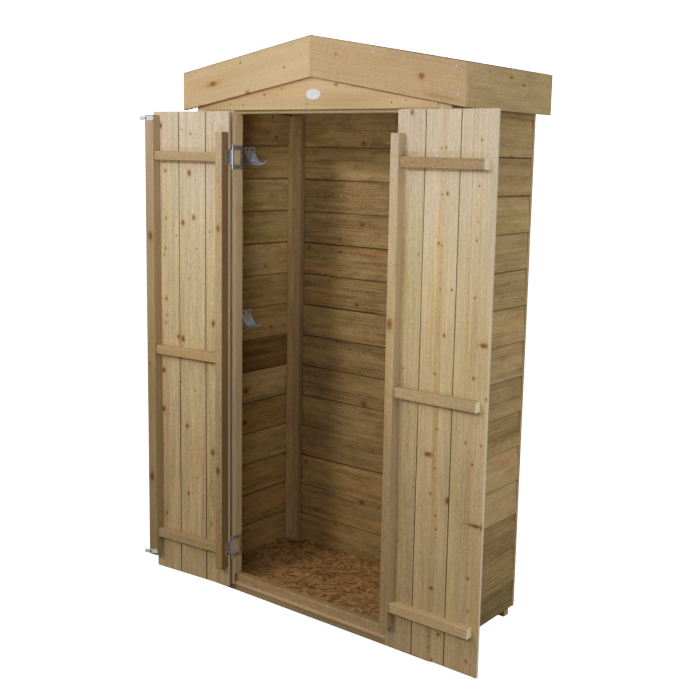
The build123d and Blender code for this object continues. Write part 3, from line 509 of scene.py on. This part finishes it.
SEAM = dict(
    # the edge faces inside the board joints are painted near black: painted shade in the gaps
    edge=(0.055, 0.050, 0.030),
    edge_mix=0.92,
    # painted shade, darker towards the ground
    damp=0.14,
    streak=0.15,
    grain=0.17,
    speck=0.50,
)
SEAM_LEFT = dict(SEAM, streak=0.18, grain=0.27, speck=0.74)
SEAM_RIGHT = dict(SEAM, damp=0.09, damp_span=(1560.0, 150.0))


def small(w, l, s=5.0, strong=0.75):
    return (w, l, s * 0.74, s * 0.95, strong)


def big(w, l, s=10.0, strong=1.0, long=1.35):
    return (w, l, s * 0.85, s * 0.85 * long, strong)


dress(
    "right_door_board_hinge",
    door(
        "pine_right_hinge_board",
        "right",
        **SEAM_RIGHT,
        joints=(96.5, 212.0),
        joint_mix=0.25,
        pale_edge=(0.0, (0.26, 0.20, 0.13)),
        seed=11,
        tone=0.89,
        pith=(120.0, -40.0),
        lean=(0.006, 0.01),
        figure=0.30,
        green=0.5,
        red=0.2,
        knots=[
            big(48, 1600, 7),
            small(38, 360, 5),
            small(41, 880, 4),
            small(84, 1210, 4, 0.5),
            small(62, 655, 5, 0.5),
        ],
    ),
)
dress(
    "right_door_board_middle",
    door(
        "pine_right_middle_board",
        "right",
        **SEAM_RIGHT,
        joints=(96.5, 212.0),
        joint_mix=0.25,
        seed=12,
        tone=1.02,
        pith=(157.0, 4.0),
        lean=(0.002, 0.0),
        ring=5.0,
        figure=0.32,
        heart=(157.0, 17.0, 0.55),
        red=0.45,
        knots=[
            small(150, 1504, 5),
            small(165, 1506, 5),
            small(174, 1383, 7, 0.9),
            small(157, 1380, 5),
            small(150, 1246, 6, 0.9),
            small(161, 1241, 5),
            small(198, 1121, 6),
            small(160, 1118, 4),
            small(178, 992, 7, 0.9),
            small(150, 880, 6),
            small(164, 723, 5),
            (137, 644, 14, 8, 1.0),
            small(161, 608, 5),
            small(147, 531, 6),
            big(208, 522, 10),
            small(168, 469, 5),
            small(171, 428, 5),
            (162, 249, 9, 6, 0.9),
            small(191, 116, 7, 0.9),
            small(159, 99, 4),
            small(158, 66, 4),
            small(171, 31, 6),
        ],
    ),
)
dress(
    "right_door_board_free",
    door(
        "pine_right_free_board",
        "right",
        **SEAM_RIGHT,
        joints=(96.5, 212.0),
        joint_mix=0.25,
        pale_edge=(324.0, (0.66, 0.57, 0.43)),
        seed=13,
        tone=1.02,
        pith=(279.0, -12.0),
        lean=(-0.003, 0.002),
        figure=0.32,
        green=0.6,
        heart=(280.0, 13.0, 0.30),
        red=0.40,
        knots=[
            small(277, 1527, 6, 0.6),
            small(274, 1406, 5, 0.7),
            small(274, 1312, 5, 0.6),
            small(273, 1262, 6, 0.6),
            small(273, 1106, 6, 0.6),
            (307, 980, 14, 8, 1.0),
            small(278, 886, 6, 0.85),
            small(322, 833, 6, 0.9),
            small(261, 702, 5),
            small(311, 702, 5),
            small(285, 644, 6, 0.8),
            (302, 470, 25, 5, 0.9),
            big(324, 469, 8),
            small(285, 313, 6, 0.8),
            small(288, 216, 5, 0.8),
            small(288, 66, 6, 0.8),
        ],
    ),
)
dress(
    "left_door_board_hinge",
    door(
        "pine_left_hinge_board",
        "left",
        **SEAM_LEFT,
        joints=(96.5, 212.0),
        joint_mix=0.50,
        pale_edge=(0.0, (0.66, 0.57, 0.43)),
        seed=21,
        tone=1.04,
        pith=(60.0, -60.0),
        lean=(0.01, 0.012),
        figure=0.34,
        green=0.4,
        knots=[
            small(79, 1222, 5),
            big(64, 921, 9),
            big(67, 481, 9),
            small(75, 229, 7, 0.6),
            small(54, 690, 5, 0.5),
        ],
    ),
)
dress(
    "left_door_board_middle",
    door(
        "pine_left_middle_board",
        "left",
        **SEAM_LEFT,
        joints=(96.5, 212.0),
        joint_mix=0.50,
        seed=22,
        tone=1.08,
        pith=(150.0, -25.0),
        lean=(0.008, 0.004),
        figure=0.36,
        green=0.4,
        knots=[
            small(160, 1537, 6),
            small(197, 1550, 5),
            big(167, 1410, 10),
            big(148, 1265, 9),
            big(195, 1246, 9),
            small(136, 1162, 5),
            small(170, 1061, 7, 0.5),
            big(198, 855, 10),
            small(144, 681, 5, 0.6),
            small(207, 704, 5),
            big(182, 555, 8, 0.9),
            small(177, 316, 8, 0.9),
            small(137, 380, 5, 0.6),
        ],
    ),
)
dress(
    "left_door_board_free",
    door(
        "pine_left_free_board",
        "left",
        **SEAM_LEFT,
        joints=(96.5, 212.0),
        joint_mix=0.50,
        pale_edge=(324.0, (0.66, 0.57, 0.43)),
        seed=23,
        tone=1.10,
        pith=(276.0, -10.0),
        lean=(0.002, 0.001),
        figure=0.34,
        heart=(275.0, 14.0, 0.35),
        knots=[
            big(291, 1562, 7),
            small(273, 1415, 7, 0.8),
            small(271, 1257, 6, 0.8),
            small(301, 1251, 6, 0.8),
            small(226, 1201, 5),
            small(273, 1156, 6, 0.8),
            small(304, 1153, 5),
            small(280, 1134, 5),
            small(274, 985, 7, 0.9),
            small(270, 929, 6),
            small(275, 901, 6),
            big(219, 861, 8, 0.9),
            big(287, 736, 9),
            big(288, 600, 9),
            small(278, 228, 7, 0.6),
        ],
    ),
)

for side, u, n, at, seed in (
    ("left", left_u, left_n, left_at, 31),
    ("right", right_u, right_n, right_at, 41),
):
    dress(
        f"{side}_door_stile",
        door(
            f"pine_{side}_stile",
            side,
            seed=seed,
            pal=BATTEN,
            tone=0.96 if side == "left" else 0.95,
            pith=(-30.0, -20.0),
            ring=4.5,
            figure=0.28,
            streak=0.07,
            speck=0.62,
            wild=0.14,
            wild_size=6.0,
            sawn=0.7,
            green=0.35,
            red=0.6,
            # the left stile's sides are painted dark: painted shade
            edge=(0.235, 0.152, 0.074) if side == "left" else (0.46, 0.375, 0.265),
            edge_mix=0.6,
            # painted shade, darker towards the ground
            damp=0.16,
            knots=[big(12, 1008, 12, 1.0, 1.6)]
            if side == "right"
            else [big(14, 1238, 9), big(16, 435, 10)],
        ),
    )

    # the three ledges of a door, told apart by height
    def ledge(g, l, w, t):
        k = g.m("FLOOR", g.m("DIVIDE", w, 560.0))
        return k, g.sub(w, g.mul(k, 653.0))

    dress(
        f"{side}_door_ledges",
        wood(
            f"pine_{side}_ledges",
            u,
            Z,
            n,
            origin=at,
            seed=seed + 2,
            pal=BATTEN,
            tone=0.86,
            tones=(0.12, 0.17, 0.01) if side == "left" else (0.30, 0.11, -0.19),
            pith=(140.0, -30.0),
            ring=4.2,
            figure=0.22,
            streak=0.07,
            speck=0.62,
            index=ledge,
            spread=0.0,
            sawn=1.0,
            green=0.8,
            red=0.5,
            wild=0.12,
            wild_size=6.0,
            end=(0.80, 0.70, 0.50),
            end_mix=0.95,
            edge_mix=0.15,
        ),
    )
dress(
    "left_door_meeting_batten",
    door(
        "pine_meeting_batten",
        "left",
        seed=51,
        pal=BATTEN,
        tone=0.90,
        pith=(290.0, 0.0),
        figure=0.28,
        speck=0.60,
        ring=4.2,
        sawn=0.8,
        knots=[big(316, 360, 11, 1.0, 1.5), big(311, 1197, 11, 1.0, 1.5), small(320, 760, 6)],
        edge=(0.42, 0.33, 0.21),
        edge_mix=0.6,
        # painted shade, darker towards the ground
        damp=0.16,
    ),
)

# ------------------------------------------------------------------ walls

LAP, LAP_FIRST, LAP_SLOPE = 114.05, 115.9, 6.25 / 114.05


def lap_boards(out):
    """Which overlap board a point is on, and how far up it: the boards lean, so both come from height and depth."""

    def number(g, l, w, t):
        # w is the height and t the depth behind the wall's outer plane
        v = g.sub(w, g.m("DIVIDE", t, LAP_SLOPE)) if out else w
        place = g.m("DIVIDE", g.sub(v, LAP_FIRST), LAP)
        place = g.add(place, 0.985)
        k = g.m("FLOOR", place)
        return k, g.sub(w, g.mad(k, LAP, LAP_FIRST))

    return number


dress(
    "side_boards_right",
    wood(
        "pine_side_right",
        Y,
        Z,
        -X,
        origin=(0.4953, 0, 0),
        seed=61,
        pal=OLIVE,
        tone=1.10,
        pith=(50.0, -35.0),
        ring=6.0,
        figure=0.34,
        wave=(16.0, 420.0),
        lean=(0.004, 0.003),
        streak=0.19,
        grain=0.13,
        speck=0.50,
        smudge=0.26,
        lap_shade=(0.48, 0.35),
        blotch=0.13,
        index=lap_boards(True),
        spread=0.07,
        tones=(
            *(-0.51, -0.30, -0.30, 0.04, 0.08, -0.23, -0.13),
            *(-0.13, -0.03, -0.15, 0.00, 0.04, -0.20, -0.03),
        ),
        tone_from=-1,
        cast=0.40,
        mossy=-1,
        green=0.50,
        red=0.40,
        edge=(0.50, 0.40, 0.26),
        edge_mix=0.5,
        wild=0.16,
        wild_size=8.0,
        end=(0.52, 0.40, 0.25),
    ),
)
dress(
    "side_boards_left",
    wood(
        "pine_side_left",
        Y,
        Z,
        X,
        origin=(-0.4953, 0, 0),
        seed=62,
        pal=WALL,
        tone=1.38,
        pith=(50.0, -35.0),
        ring=6.0,
        figure=0.34,
        wave=(16.0, 420.0),
        lean=(0.004, 0.003),
        streak=0.24,
        grain=0.16,
        blotch=0.20,
        speck=0.60,
        smudge=0.42,
        lap_shade=(0.50, 0.50),
        index=lap_boards(True),
        spread=0.14,
        tones=(
            *(0.00, 0.00, -0.10, 0.11, -0.28, 0.36, -0.66),
            *(0.12, 0.06, 0.26, 0.12, 0.12, 0.29, -0.14),
        ),
        tone_from=-1,
        cast=0.8,
        green=0.8,
        red=0.3,
        edge=(0.58, 0.46, 0.29),
        edge_mix=0.6,
        wild=0.26,
        wild_size=8.0,
        end=(0.52, 0.40, 0.25),
    ),
)
dress(
    "back_boards",
    wood(
        "pine_back",
        X,
        Z,
        -Y,
        origin=(0, 0.2312, 0),
        seed=63,
        pal=BROWN,
        tone=0.86,
        pith=(50.0, -35.0),
        ring=6.0,
        figure=0.34,
        wave=(16.0, 420.0),
        lean=(0.004, 0.003),
        streak=0.24,
        grain=0.16,
        blotch=0.18,
        speck=0.60,
        smudge=0.42,
        lap_shade=(0.50, 0.55),
        index=lap_boards(True),
        spread=0.14,
        tones=(
            *(0.00, 0.08, 0.13, 0.19, 0.08, 0.07, 0.00),
            *(-0.06, -0.02, 0.10, 0.00, -0.04, 0.14, 0.28),
        ),
        tone_from=-1,
        green=0.5,
        red=0.6,
        edge=(0.58, 0.46, 0.29),
        edge_mix=0.6,
        wild=0.26,
        wild_size=8.0,
        end=(0.55, 0.42, 0.26),
    ),
)

# ------------------------------------------------------------------ frame timbers


def upright(node, seed, tone=0.95, pal=BATTEN, edge_mix=0.0, **kw):
    lo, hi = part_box(node)
    mid = (lo + hi) / 2
    dress(
        node,
        wood(
            "pine_" + node,
            Z,
            X,
            Y,
            origin=(mid.x, mid.y, 0),
            seed=seed,
            pal=pal,
            tone=tone,
            ring=4.6,
            pith=(-28.0, -34.0),
            edge_mix=edge_mix,
            **kw,
        ),
    )


def lying(node, axis, seed, tone=0.95, pal=BATTEN, **kw):
    lo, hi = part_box(node)
    mid = (lo + hi) / 2
    cross = Y if axis is X else X
    dress(
        node,
        wood(
            "pine_" + node,
            axis,
            Z,
            cross,
            origin=(mid.x, mid.y, lo.z),
            seed=seed,
            pal=pal,
            tone=tone,
            ring=4.6,
            pith=(-20.0, -34.0),
            edge_mix=0.0,
            **kw,
        ),
    )


def by(step_mm, start, which):
    """Numbers the timbers of one node by where they stand along an axis."""

    def number(g, l, w, t):
        s = {"l": l, "w": w, "t": t}[which]
        return g.m("FLOOR", g.m("DIVIDE", g.sub(s, start), step_mm)), w

    return number


# the left jamb's tone is lifted above the right's, partly painted light making up for light the lamps leave off it
upright("jamb_left", 71, 1.34, FRAME, sawn=0.4, wild=0.12)
upright("jamb_right", 72, 1.05, FRAME, sawn=0.4, wild=0.12)
upright("front_board_left", 73, 0.97, PALE, 0.9, wild=0.12, edge=(0.68, 0.55, 0.38))
upright("front_board_right", 74, 0.97, PALE, 0.9, wild=0.12, edge=(0.68, 0.55, 0.38))
upright("corner_trim_left", 75, 1.0, PALE, wild=0.10)
upright("corner_trim_right", 76, 1.0, PALE, wild=0.10)
upright(
    "corner_trims_rear", 70, 0.88, PALE, index=by(900.0, 0.0, "w"), wild=0.10, green=0.6
)
for node, seed in (("side_battens_left", 77), ("side_battens_right", 78)):
    upright(
        node,
        seed,
        1.08,
        index=by(200.0, 0.0, "t"),
        sawn=0.6,
        speck=0.5,
        figure=0.3,
        smudge=0.25,
        wild=0.30,
        wild_size=5.0,
    )
upright(
    "back_battens", 79, 0.95, index=by(300.0, -150.0, "w"), sawn=0.6, speck=0.5, wild=0.14
)
lying("floor_bearers", X, 81, 0.82, index=by(140.0, -70.0, "t"), sawn=0.8, green=0.9)
lying("threshold_batten", X, 82, 0.97, sawn=0.8, red=0.5, figure=0.15, streak=0.06, speck=0.70, smudge=0.15)
lying("header_batten", X, 83, 0.72, FRAME, sawn=0.3, green=0.7, wild=0.12)
lying("ridge_beam", Y, 84, 0.95, sawn=0.5, wild=0.1)
lying("eave_rails", Y, 85, 0.95, index=by(600.0, -300.0, "t"), sawn=0.5, wild=0.1)

# ------------------------------------------------------------------ roof boards

TILT = math.atan(0.17367)
for node, sign, seed, knots, stains_and_shade in (
    (
        "bargeboard_front_left",
        1,
        91,
        [
            (-410, 1694),
            (-257, 1665),
            (-288, 1755),
            (-103, 1737),
        ],
        [(-410, 1694, 70, 16)],
    ),
    (
        "bargeboard_front_right",
        -1,
        92,
        [(98, 1768), (402, 1698)],
        [(470, 1640, 110, 14)],
    ),
):
    along = Vector((math.cos(TILT), 0, sign * math.sin(TILT)))
    across = Vector((-sign * math.sin(TILT), 0, math.cos(TILT)))
    sizes = {
        (-410, 1694): (7, 16, 0.95),
        (-257, 1665): (6, 10, 0.95),
        (402, 1698): (9, 11, 1.0),
    }

    def place(x, z):
        p = Vector((x, 0, z))
        return p.dot(across), p.dot(along)

    dress(
        node,
        wood(
            "pine_" + node,
            along,
            across,
            Y,
            seed=seed,
            pal=HONEY,
            tone=1.03 if sign > 0 else 0.81,
            ring=7.0,
            pith=(place(0, 1680)[0] + 10.0, -300.0),
            lean=(0.02 * sign, 0.03),
            figure=0.16,
            streak=0.07,
            grain=0.07,
            blotch=0.10,
            sawn=0.7,
            speck=0.40,
            green=0.25,
            red=0.55,
            knots=[
                (*place(*k), *sizes.get(k, (3.6, 4.4, 1.0))) for k in knots
            ],
            stains_and_shade=[(*place(sx, sz), hw, hl, 0.5) for sx, sz, hl, hw in stains_and_shade],
            end=(0.56, 0.43, 0.27),
            end_mix=0.9,
            edge_mix=0.35,
        ),
    )
dress(
    "bargeboards_rear",
    wood(
        "pine_bargeboards_rear",
        X,
        Z,
        -Y,
        seed=93,
        pal=HONEY,
        ring=7.0,
        pith=(1690.0, -300.0),
        lean=(0.0, 0.03),
        figure=0.35,
        red=0.5,
        wild=0.10,
        index=by(900.0, 0.0, "l"),
    ),
)

for node, seed, x_axis in (("fascia_left", 95, -X), ("fascia_right", 96, X)):
    dress(
        node,
        wood(
            "pine_" + node,
            Y,
            Z,
            x_axis,
            seed=seed,
            pal=OLIVE,
            tone=1.06,
            ring=6.0,
            pith=(1690.0, 60.0),
            lean=(0.02, 0.03),
            figure=0.18,
            smudge=0.14,
            sawn=0.5,
            speck=0.42,
            streak=0.10,
            green=0.5,
            red=0.6,
            knots=[(1690, 62, 4.0, 10, 0.7), (1706, -10, 3.5, 9, 0.85)],
            end_mix=0.5,
        ),
    )
for node, seed in (("gable_board_front", 97), ("gable_board_rear", 98)):
    dress(
        node,
        wood(
            "pine_" + node,
            X,
            Z,
            Y,
            seed=seed,
            pal=HONEY,
            tone=0.99,
            ring=6.5,
            pith=(1660.0, -280.0),
            lean=(0.012, 0.02),
            figure=0.18,
            streak=0.07,
            grain=0.07,
            sawn=0.6,
            red=0.5,
            knots=[
                (1658, -196, 4, 5, 1.0),
                (1683, 90, 5, 7, 0.9),
                (1675, -125, 3, 4, 0.8),
            ]
            if seed == 97
            else [],
            # painted shade: a darker patch right of the middle, under the right bargeboard
            stains_and_shade=[(1632, 150, 52, 230, 0.50)] if seed == 97 else [],
            wild=0.0 if seed == 97 else 0.1,
        ),
    )

# ------------------------------------------------------------------ strand board, felt, metal, badge


def strand_board(name, up, seed):
    """Flat wood strands lying every way, pressed and glued: the strand on top is the one with the highest number."""
    g = Tree(name)
    rng = random.Random(seed)
    px, py, pz = g.parts(g.P)
    a, b = (px, py) if up is Z else (px, pz)
    best = shade = None
    grain = None
    for i in range(5):
        turn = math.radians(-28 + 31 * i + rng.uniform(-9, 9))
        c, s = math.cos(turn), math.sin(turn)
        u = g.add(g.mul(a, c * 1000), g.mul(b, s * 1000))
        v = g.add(g.mul(a, -s * 1000), g.mul(b, c * 1000))
        bend = g.noise(g.vec(u, v), (120, 60, 1), seed + i, 1.0)
        at = g.vec(
            g.mad(u, 1 / 38.0, 13.7 * i), g.mad(g.mad(bend, 6.0, v), 1 / 9.0, 5.1 * i)
        )
        c1, c2, c3 = g.parts(g.cells(at, dims="2D", randomness=0.95).outputs["Color"])
        fine = g.noise(g.vec(u, v), (60, 1.6, 1), seed + i + 20, 2.0, 0.6)
        if best is None:
            best, shade, grain = c1, c2, fine
        else:
            over = g.m("GREATER_THAN", c1, best)
            best = g.high(best, c1)
            shade = g.add(g.mul(c2, over), g.mul(shade, g.sub(1.0, over)))
            grain = g.add(g.mul(fine, over), g.mul(grain, g.sub(1.0, over)))
    colour = g.mix(shade, (0.235, 0.134, 0.057, 1), (0.590, 0.392, 0.196, 1))
    dust = g.noise(g.P, (0.16, 0.16, 0.16), seed + 40, 3.0, 0.55)
    value = g.mad(g.sub(grain, 0.5), 0.70, g.mad(dust, 0.45, 0.80))
    colour = g.scale(colour, value)
    colour = g.mix(
        g.mul(g.step(dust, 0.45, 0.72), 0.35), colour, (0.40, 0.31, 0.20, 1)
    )
    if up is Z and seed == 3:
        # the floor's front edge is worn pale, and the pale strip is also a painted highlight along that edge
        worn_and_highlight = g.step(g.mad(dust, 4.0, g.mul(py, 1000.0)), -215.5, -217.5)
        colour = g.mix(g.mul(worn_and_highlight, 0.85), colour, (0.62, 0.45, 0.29, 1))
    height = g.mad(best, 0.7, g.mul(grain, 0.3))
    return g.surface(
        colour, g.mad(grain, 0.2, 0.62), g.bump(height, 0.6, 0.0008), spec=0.35
    )


dress("floor_panel", strand_board("strand_board_floor", Z, 3))
dress("roof_sheet_left", strand_board("strand_board_roof_left", Z, 4))
dress("roof_sheet_right", strand_board("strand_board_roof_right", Z, 5))


def felt():
    g = Tree("mineral_felt")
    mm = g.v("MULTIPLY", g.P, (1000.0, 1000.0, 1000.0))
    grit = g.cells(g.v("MULTIPLY", mm, (1 / 1.5, 1 / 1.5, 1 / 1.5)))
    g1, g2, g3 = g.parts(grit.outputs["Color"])
    wave = g.noise(mm, (160, 160, 160), 4.0, 3.0, 0.6)
    tone = g.mad(g.mul(g1, g1), 0.085, g.mad(wave, 0.035, 0.008))
    colour = g.mix(g2, (0.92, 1.0, 0.95, 1), (1.0, 0.98, 0.95, 1))
    colour = g.scale(colour, tone)
    # the cut edge shows the brown base of the felt
    cut = g.step(g.m("ABSOLUTE", g.dot(g.N, (0, 0, 1.0))), 0.8, 0.4)
    brown = g.scale((0.300, 0.185, 0.105), g.mad(wave, 0.6, 0.7))
    colour = g.mix(cut, colour, brown)
    height = g.sub(1.0, grit.outputs["Distance"])
    return g.surface(
        colour, g.mad(g1, 0.1, 0.86), g.bump(height, 0.8, 0.0009), spec=0.25
    )


dress("roof_felt", felt())


def zinc(
    name, seed, base=(0.62, 0.66, 0.70), rough=0.36, size=5.0, rusty=None, metal=1.0
):
    """Hot-dip zinc: angular spangle, each crystal a little lighter or duller, with dull patches and faint scratches."""
    g = Tree(name)
    mm = g.v("MULTIPLY", g.P, (1000.0, 1000.0, 1000.0))
    jag = g.noise(mm, (3.0, 3.0, 3.0), seed, 2.0)
    at = g.v("MULTIPLY_ADD", mm, (1 / size,) * 3, (seed * 1.3, seed * 2.7, seed * 0.9))
    at = g.v("ADD", at, g.vec(g.mul(jag, 0.5), g.mul(jag, -0.4), g.mul(jag, 0.3)))
    c1, c2, c3 = g.parts(g.cells(at).outputs["Color"])
    dull = g.noise(mm, (26, 26, 26), seed + 4.4, 3.0, 0.6)
    scratch = g.noise(mm, (1.1, 22.0, 22.0), seed + 7.1, 2.0, 0.7)
    value = g.mad(c1, 0.16, g.mad(dull, 0.28, 0.74))
    value = g.mad(g.step(scratch, 0.62, 0.8), 0.10, value)
    colour = g.scale(base, value)
    colour = g.mix(
        g.mul(g.step(dull, 0.55, 0.8), 0.35), colour, (0.86, 0.90, 0.95, 1), "MULTIPLY"
    )
    if rusty is not None:
        # heads that were driven below this face have gone brown
        colour = g.mix(rusty(g), colour, (0.085, 0.050, 0.030, 1))
    roughness = g.mad(c2, 0.10, g.mad(dull, 0.20, rough - 0.12))
    return g.surface(
        colour,
        roughness,
        g.bump(g.mad(c3, 0.5, g.mul(scratch, 0.4)), 0.25, 0.0002),
        metal=metal,
    )


hinge_zinc = zinc("zinc_hinge", 2.0, metal=0.8)
# the hooks' pale bluish base colour is a painted sheen standing in for their bright reflections
hook_zinc_painted_sheen = zinc("zinc_hook_painted_sheen", 3.0, base=(0.80, 0.90, 1.0), size=6.0, metal=0.4)
bolt_zinc = zinc("zinc_bolt", 4.0, size=4.0)
button_zinc = zinc("zinc_button", 7.0, base=(0.86, 0.90, 0.90), size=4.0, metal=0.35)
nail_zinc = zinc("zinc_nail", 5.0, base=(0.36, 0.40, 0.45), rough=0.50, size=2.0)
for node in ("hinge_frame_leaves", "left_hinge_door_leaves", "right_hinge_door_leaves"):
    dress(node, hinge_zinc)
for node in ("tool_hook_upper", "tool_hook_lower"):
    dress(node, hook_zinc_painted_sheen)
for node in (
    "pad_bolt_body",
    "pad_bolt_slide",
    "bolt_keep",
    "hinge_pins",
):
    dress(node, bolt_zinc)
for node in ("turn_button_top", "turn_button_bottom"):
    dress(node, button_zinc)


def in_gable(g):
    """One for the small nail heads in the gable board, nought for those in the boards in front of it."""
    deep = g.step(g.dot(g.P, (0, 1000.0, 0)), -243.0, -240.0)
    return g.mul(deep, g.step(g.m("ABSOLUTE", g.dot(g.P, (1000.0, 0, 0))), 440.0, 430.0))


dress(
    "roof_nails",
    zinc(
        "zinc_roof_nail", 6.0, base=(0.42, 0.47, 0.54), rough=0.50, size=2.0, rusty=in_gable
    ),
)
for node in (
    "hinge_frame_screws",
    "tool_hook_screws",
    "left_hinge_door_screws",
    "right_hinge_door_screws",
    "left_door_nails",
    "right_door_nails",
    "button_screws",
):
    dress(node, nail_zinc)


def badge():
    """A blank pale oval: enamel with faint orange peel, handled a little greyer toward its rim."""
    g = Tree("badge_enamel")
    lo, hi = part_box("badge_plate")
    mid, half = (lo + hi) / 2, (hi - lo) / 2
    d = g.v(
        "LENGTH",
        g.v(
            "MULTIPLY",
            g.v("SUBTRACT", g.P, tuple(mid)),
            (1 / half.x, 0.0, 1 / half.z),
        ),
    )
    cloud = g.noise(g.P, (0.011, 0.011, 0.011), 2.0, 3.0, 0.6)
    peel = g.noise(g.P, (0.0011, 0.0011, 0.0011), 5.0, 2.0)
    colour = g.mix(cloud, (0.57, 0.550, 0.535, 1), (0.69, 0.675, 0.660, 1))
    colour = g.mix(
        g.mul(g.step(d, 0.80, 1.0), 0.45), colour, (0.60, 0.57, 0.53, 1), "MULTIPLY"
    )
    return g.surface(
        colour, g.mad(cloud, 0.15, 0.34), g.bump(peel, 0.15, 0.0002), spec=0.5
    )


dress("badge_plate", badge())

# ------------------------------------------------------------------ stage, light, camera

scene = bpy.context.scene

floor_mesh = bpy.data.meshes.new("studio_floor")
ring_n = 96
verts = [
    (14.0 * math.cos(2 * math.pi * i / ring_n), 14.0 * math.sin(2 * math.pi * i / ring_n), 0.0)
    for i in range(ring_n)
]
floor_mesh.from_pydata(verts, [], [list(range(ring_n))])
floor = bpy.data.objects.new("studio_floor", floor_mesh)
scene.collection.objects.link(floor)

fm = bpy.data.materials.new("studio_floor")
fm.use_nodes = True
ft = fm.node_tree
ft.nodes.clear()
path = ft.nodes.new("ShaderNodeLightPath")
seen = ft.nodes.new("ShaderNodeBsdfDiffuse")
seen.inputs["Color"].default_value = (0.92, 0.92, 0.92, 1)
lift = ft.nodes.new("ShaderNodeEmission")
lift.inputs["Color"].default_value = (1, 1, 1, 1)
lift.inputs["Strength"].default_value = 1.45
both = ft.nodes.new("ShaderNodeAddShader")
ft.links.new(seen.outputs[0], both.inputs[0])
ft.links.new(lift.outputs[0], both.inputs[1])
bounce = ft.nodes.new("ShaderNodeBsdfDiffuse")
bounce.inputs["Color"].default_value = (0.34, 0.34, 0.34, 1)
pick = ft.nodes.new("ShaderNodeMixShader")
ft.links.new(path.outputs["Is Camera Ray"], pick.inputs[0])
ft.links.new(bounce.outputs[0], pick.inputs[1])
ft.links.new(both.outputs[0], pick.inputs[2])
fo = ft.nodes.new("ShaderNodeOutputMaterial")
ft.links.new(pick.outputs[0], fo.inputs[0])
floor_mesh.materials.append(fm)

world = bpy.data.worlds.new("studio")
scene.world = world
world.use_nodes = True
wt = world.node_tree
wt.nodes.clear()
wpath = wt.nodes.new("ShaderNodeLightPath")
sky = wt.nodes.new("ShaderNodeBackground")
sky.inputs["Color"].default_value = (1.0, 1.0, 1.0, 1)
sky.inputs["Strength"].default_value = 0.29
white = wt.nodes.new("ShaderNodeBackground")
white.inputs["Color"].default_value = (1.0, 1.0, 1.0, 1)
white.inputs["Strength"].default_value = 2.2
wmix = wt.nodes.new("ShaderNodeMixShader")
wt.links.new(wpath.outputs["Is Camera Ray"], wmix.inputs[0])
wt.links.new(sky.outputs[0], wmix.inputs[1])
wt.links.new(white.outputs[0], wmix.inputs[2])
wo = wt.nodes.new("ShaderNodeOutputWorld")
wt.links.new(wmix.outputs[0], wo.inputs[0])


def softbox(name, at, toward, size, power, colour=(1, 1, 1), spread=180.0):
    lamp = bpy.data.lights.new(name, "AREA")
    lamp.shape = "DISK"
    lamp.size = size
    lamp.energy = power
    lamp.color = colour
    lamp.spread = math.radians(spread)
    ob = bpy.data.objects.new(name, lamp)
    scene.collection.objects.link(ob)
    ob.location = at
    ob.rotation_euler = (
        (Vector(toward) - Vector(at)).to_track_quat("-Z", "Y").to_euler()
    )
    return ob


softbox("key", (-0.9, -4.2, 3.0), (0.0, -0.2, 2.0), 0.9, 14.9, (1.0, 0.985, 0.96), 80.0)
softbox("top", (-0.55, -1.95, 3.05), (0.0, -0.25, 1.30), 1.5, 11.7, (1.0, 0.985, 0.96))
softbox("front", (1.7, -3.2, 2.2), (-0.3, 0.1, 1.0), 2.0, 30.5)
softbox("side", (3.7, -0.3, 1.35), (0.4, 0.0, 0.9), 2.0, 38.7, (0.98, 0.99, 1.0))
# light thrown up from the pale floor in front, under the roof boards and into the top of the cabinet
softbox("low", (1.15, -2.3, 0.12), (-0.25, 0.1, 1.72), 0.7, 1.85, spread=42.0)
softbox("back", (-2.2, 3.2, 2.6), (0.0, 0.2, 1.0), 1.8, 24.0)

cam = bpy.data.cameras.new("camera")
cam.sensor_fit = "HORIZONTAL"
cam.sensor_width = 36.0
cam.lens = 53.105
cam.shift_x = -0.04194
cam.shift_y = -0.04637
cam.clip_start, cam.clip_end = 0.05, 60.0
cam.dof.use_dof = False
cam_ob = bpy.data.objects.new("camera", cam)
scene.collection.objects.link(cam_ob)
az, pitch, roll = math.radians(36.79), math.radians(8.87), math.radians(1.33)
fw = Vector(
    (-math.sin(az) * math.cos(pitch), math.cos(az) * math.cos(pitch), -math.sin(pitch))
)
right = Vector((math.cos(az), math.sin(az), 0.0))
up = right.cross(fw)
r2 = right * math.cos(roll) + up * math.sin(roll)
u2 = -right * math.sin(roll) + up * math.cos(roll)
cam_ob.matrix_world = Matrix(
    (
        (r2.x, u2.x, -fw.x, 2.05321),
        (r2.y, u2.y, -fw.y, -2.62348),
        (r2.z, u2.z, -fw.z, 1.47805),
        (0, 0, 0, 1),
    )
)
scene.camera = cam_ob

scene.view_settings.view_transform = "Standard"
scene.view_settings.look = "None"
scene.view_settings.exposure = 0.0
scene.view_settings.gamma = 1.0
# a photographic response: deep browns stay rich and the brightest wood rolls off toward white
scene.view_settings.use_curve_mapping = True
curves = scene.view_settings.curve_mapping
WHITE = 1.7
curves.white_level = (WHITE, WHITE, WHITE)
response = curves.curves[3]
for x, y in (
    (0.02, 0.009),
    (0.05, 0.030),
    (0.10, 0.075),
    (0.20, 0.182),
    (0.30, 0.297),
    (0.40, 0.405),
    (0.55, 0.535),
    (0.75, 0.680),
    (1.00, 0.830),
    (1.40, 0.970),
):
    response.points.new(x / WHITE, y)
curves.update()
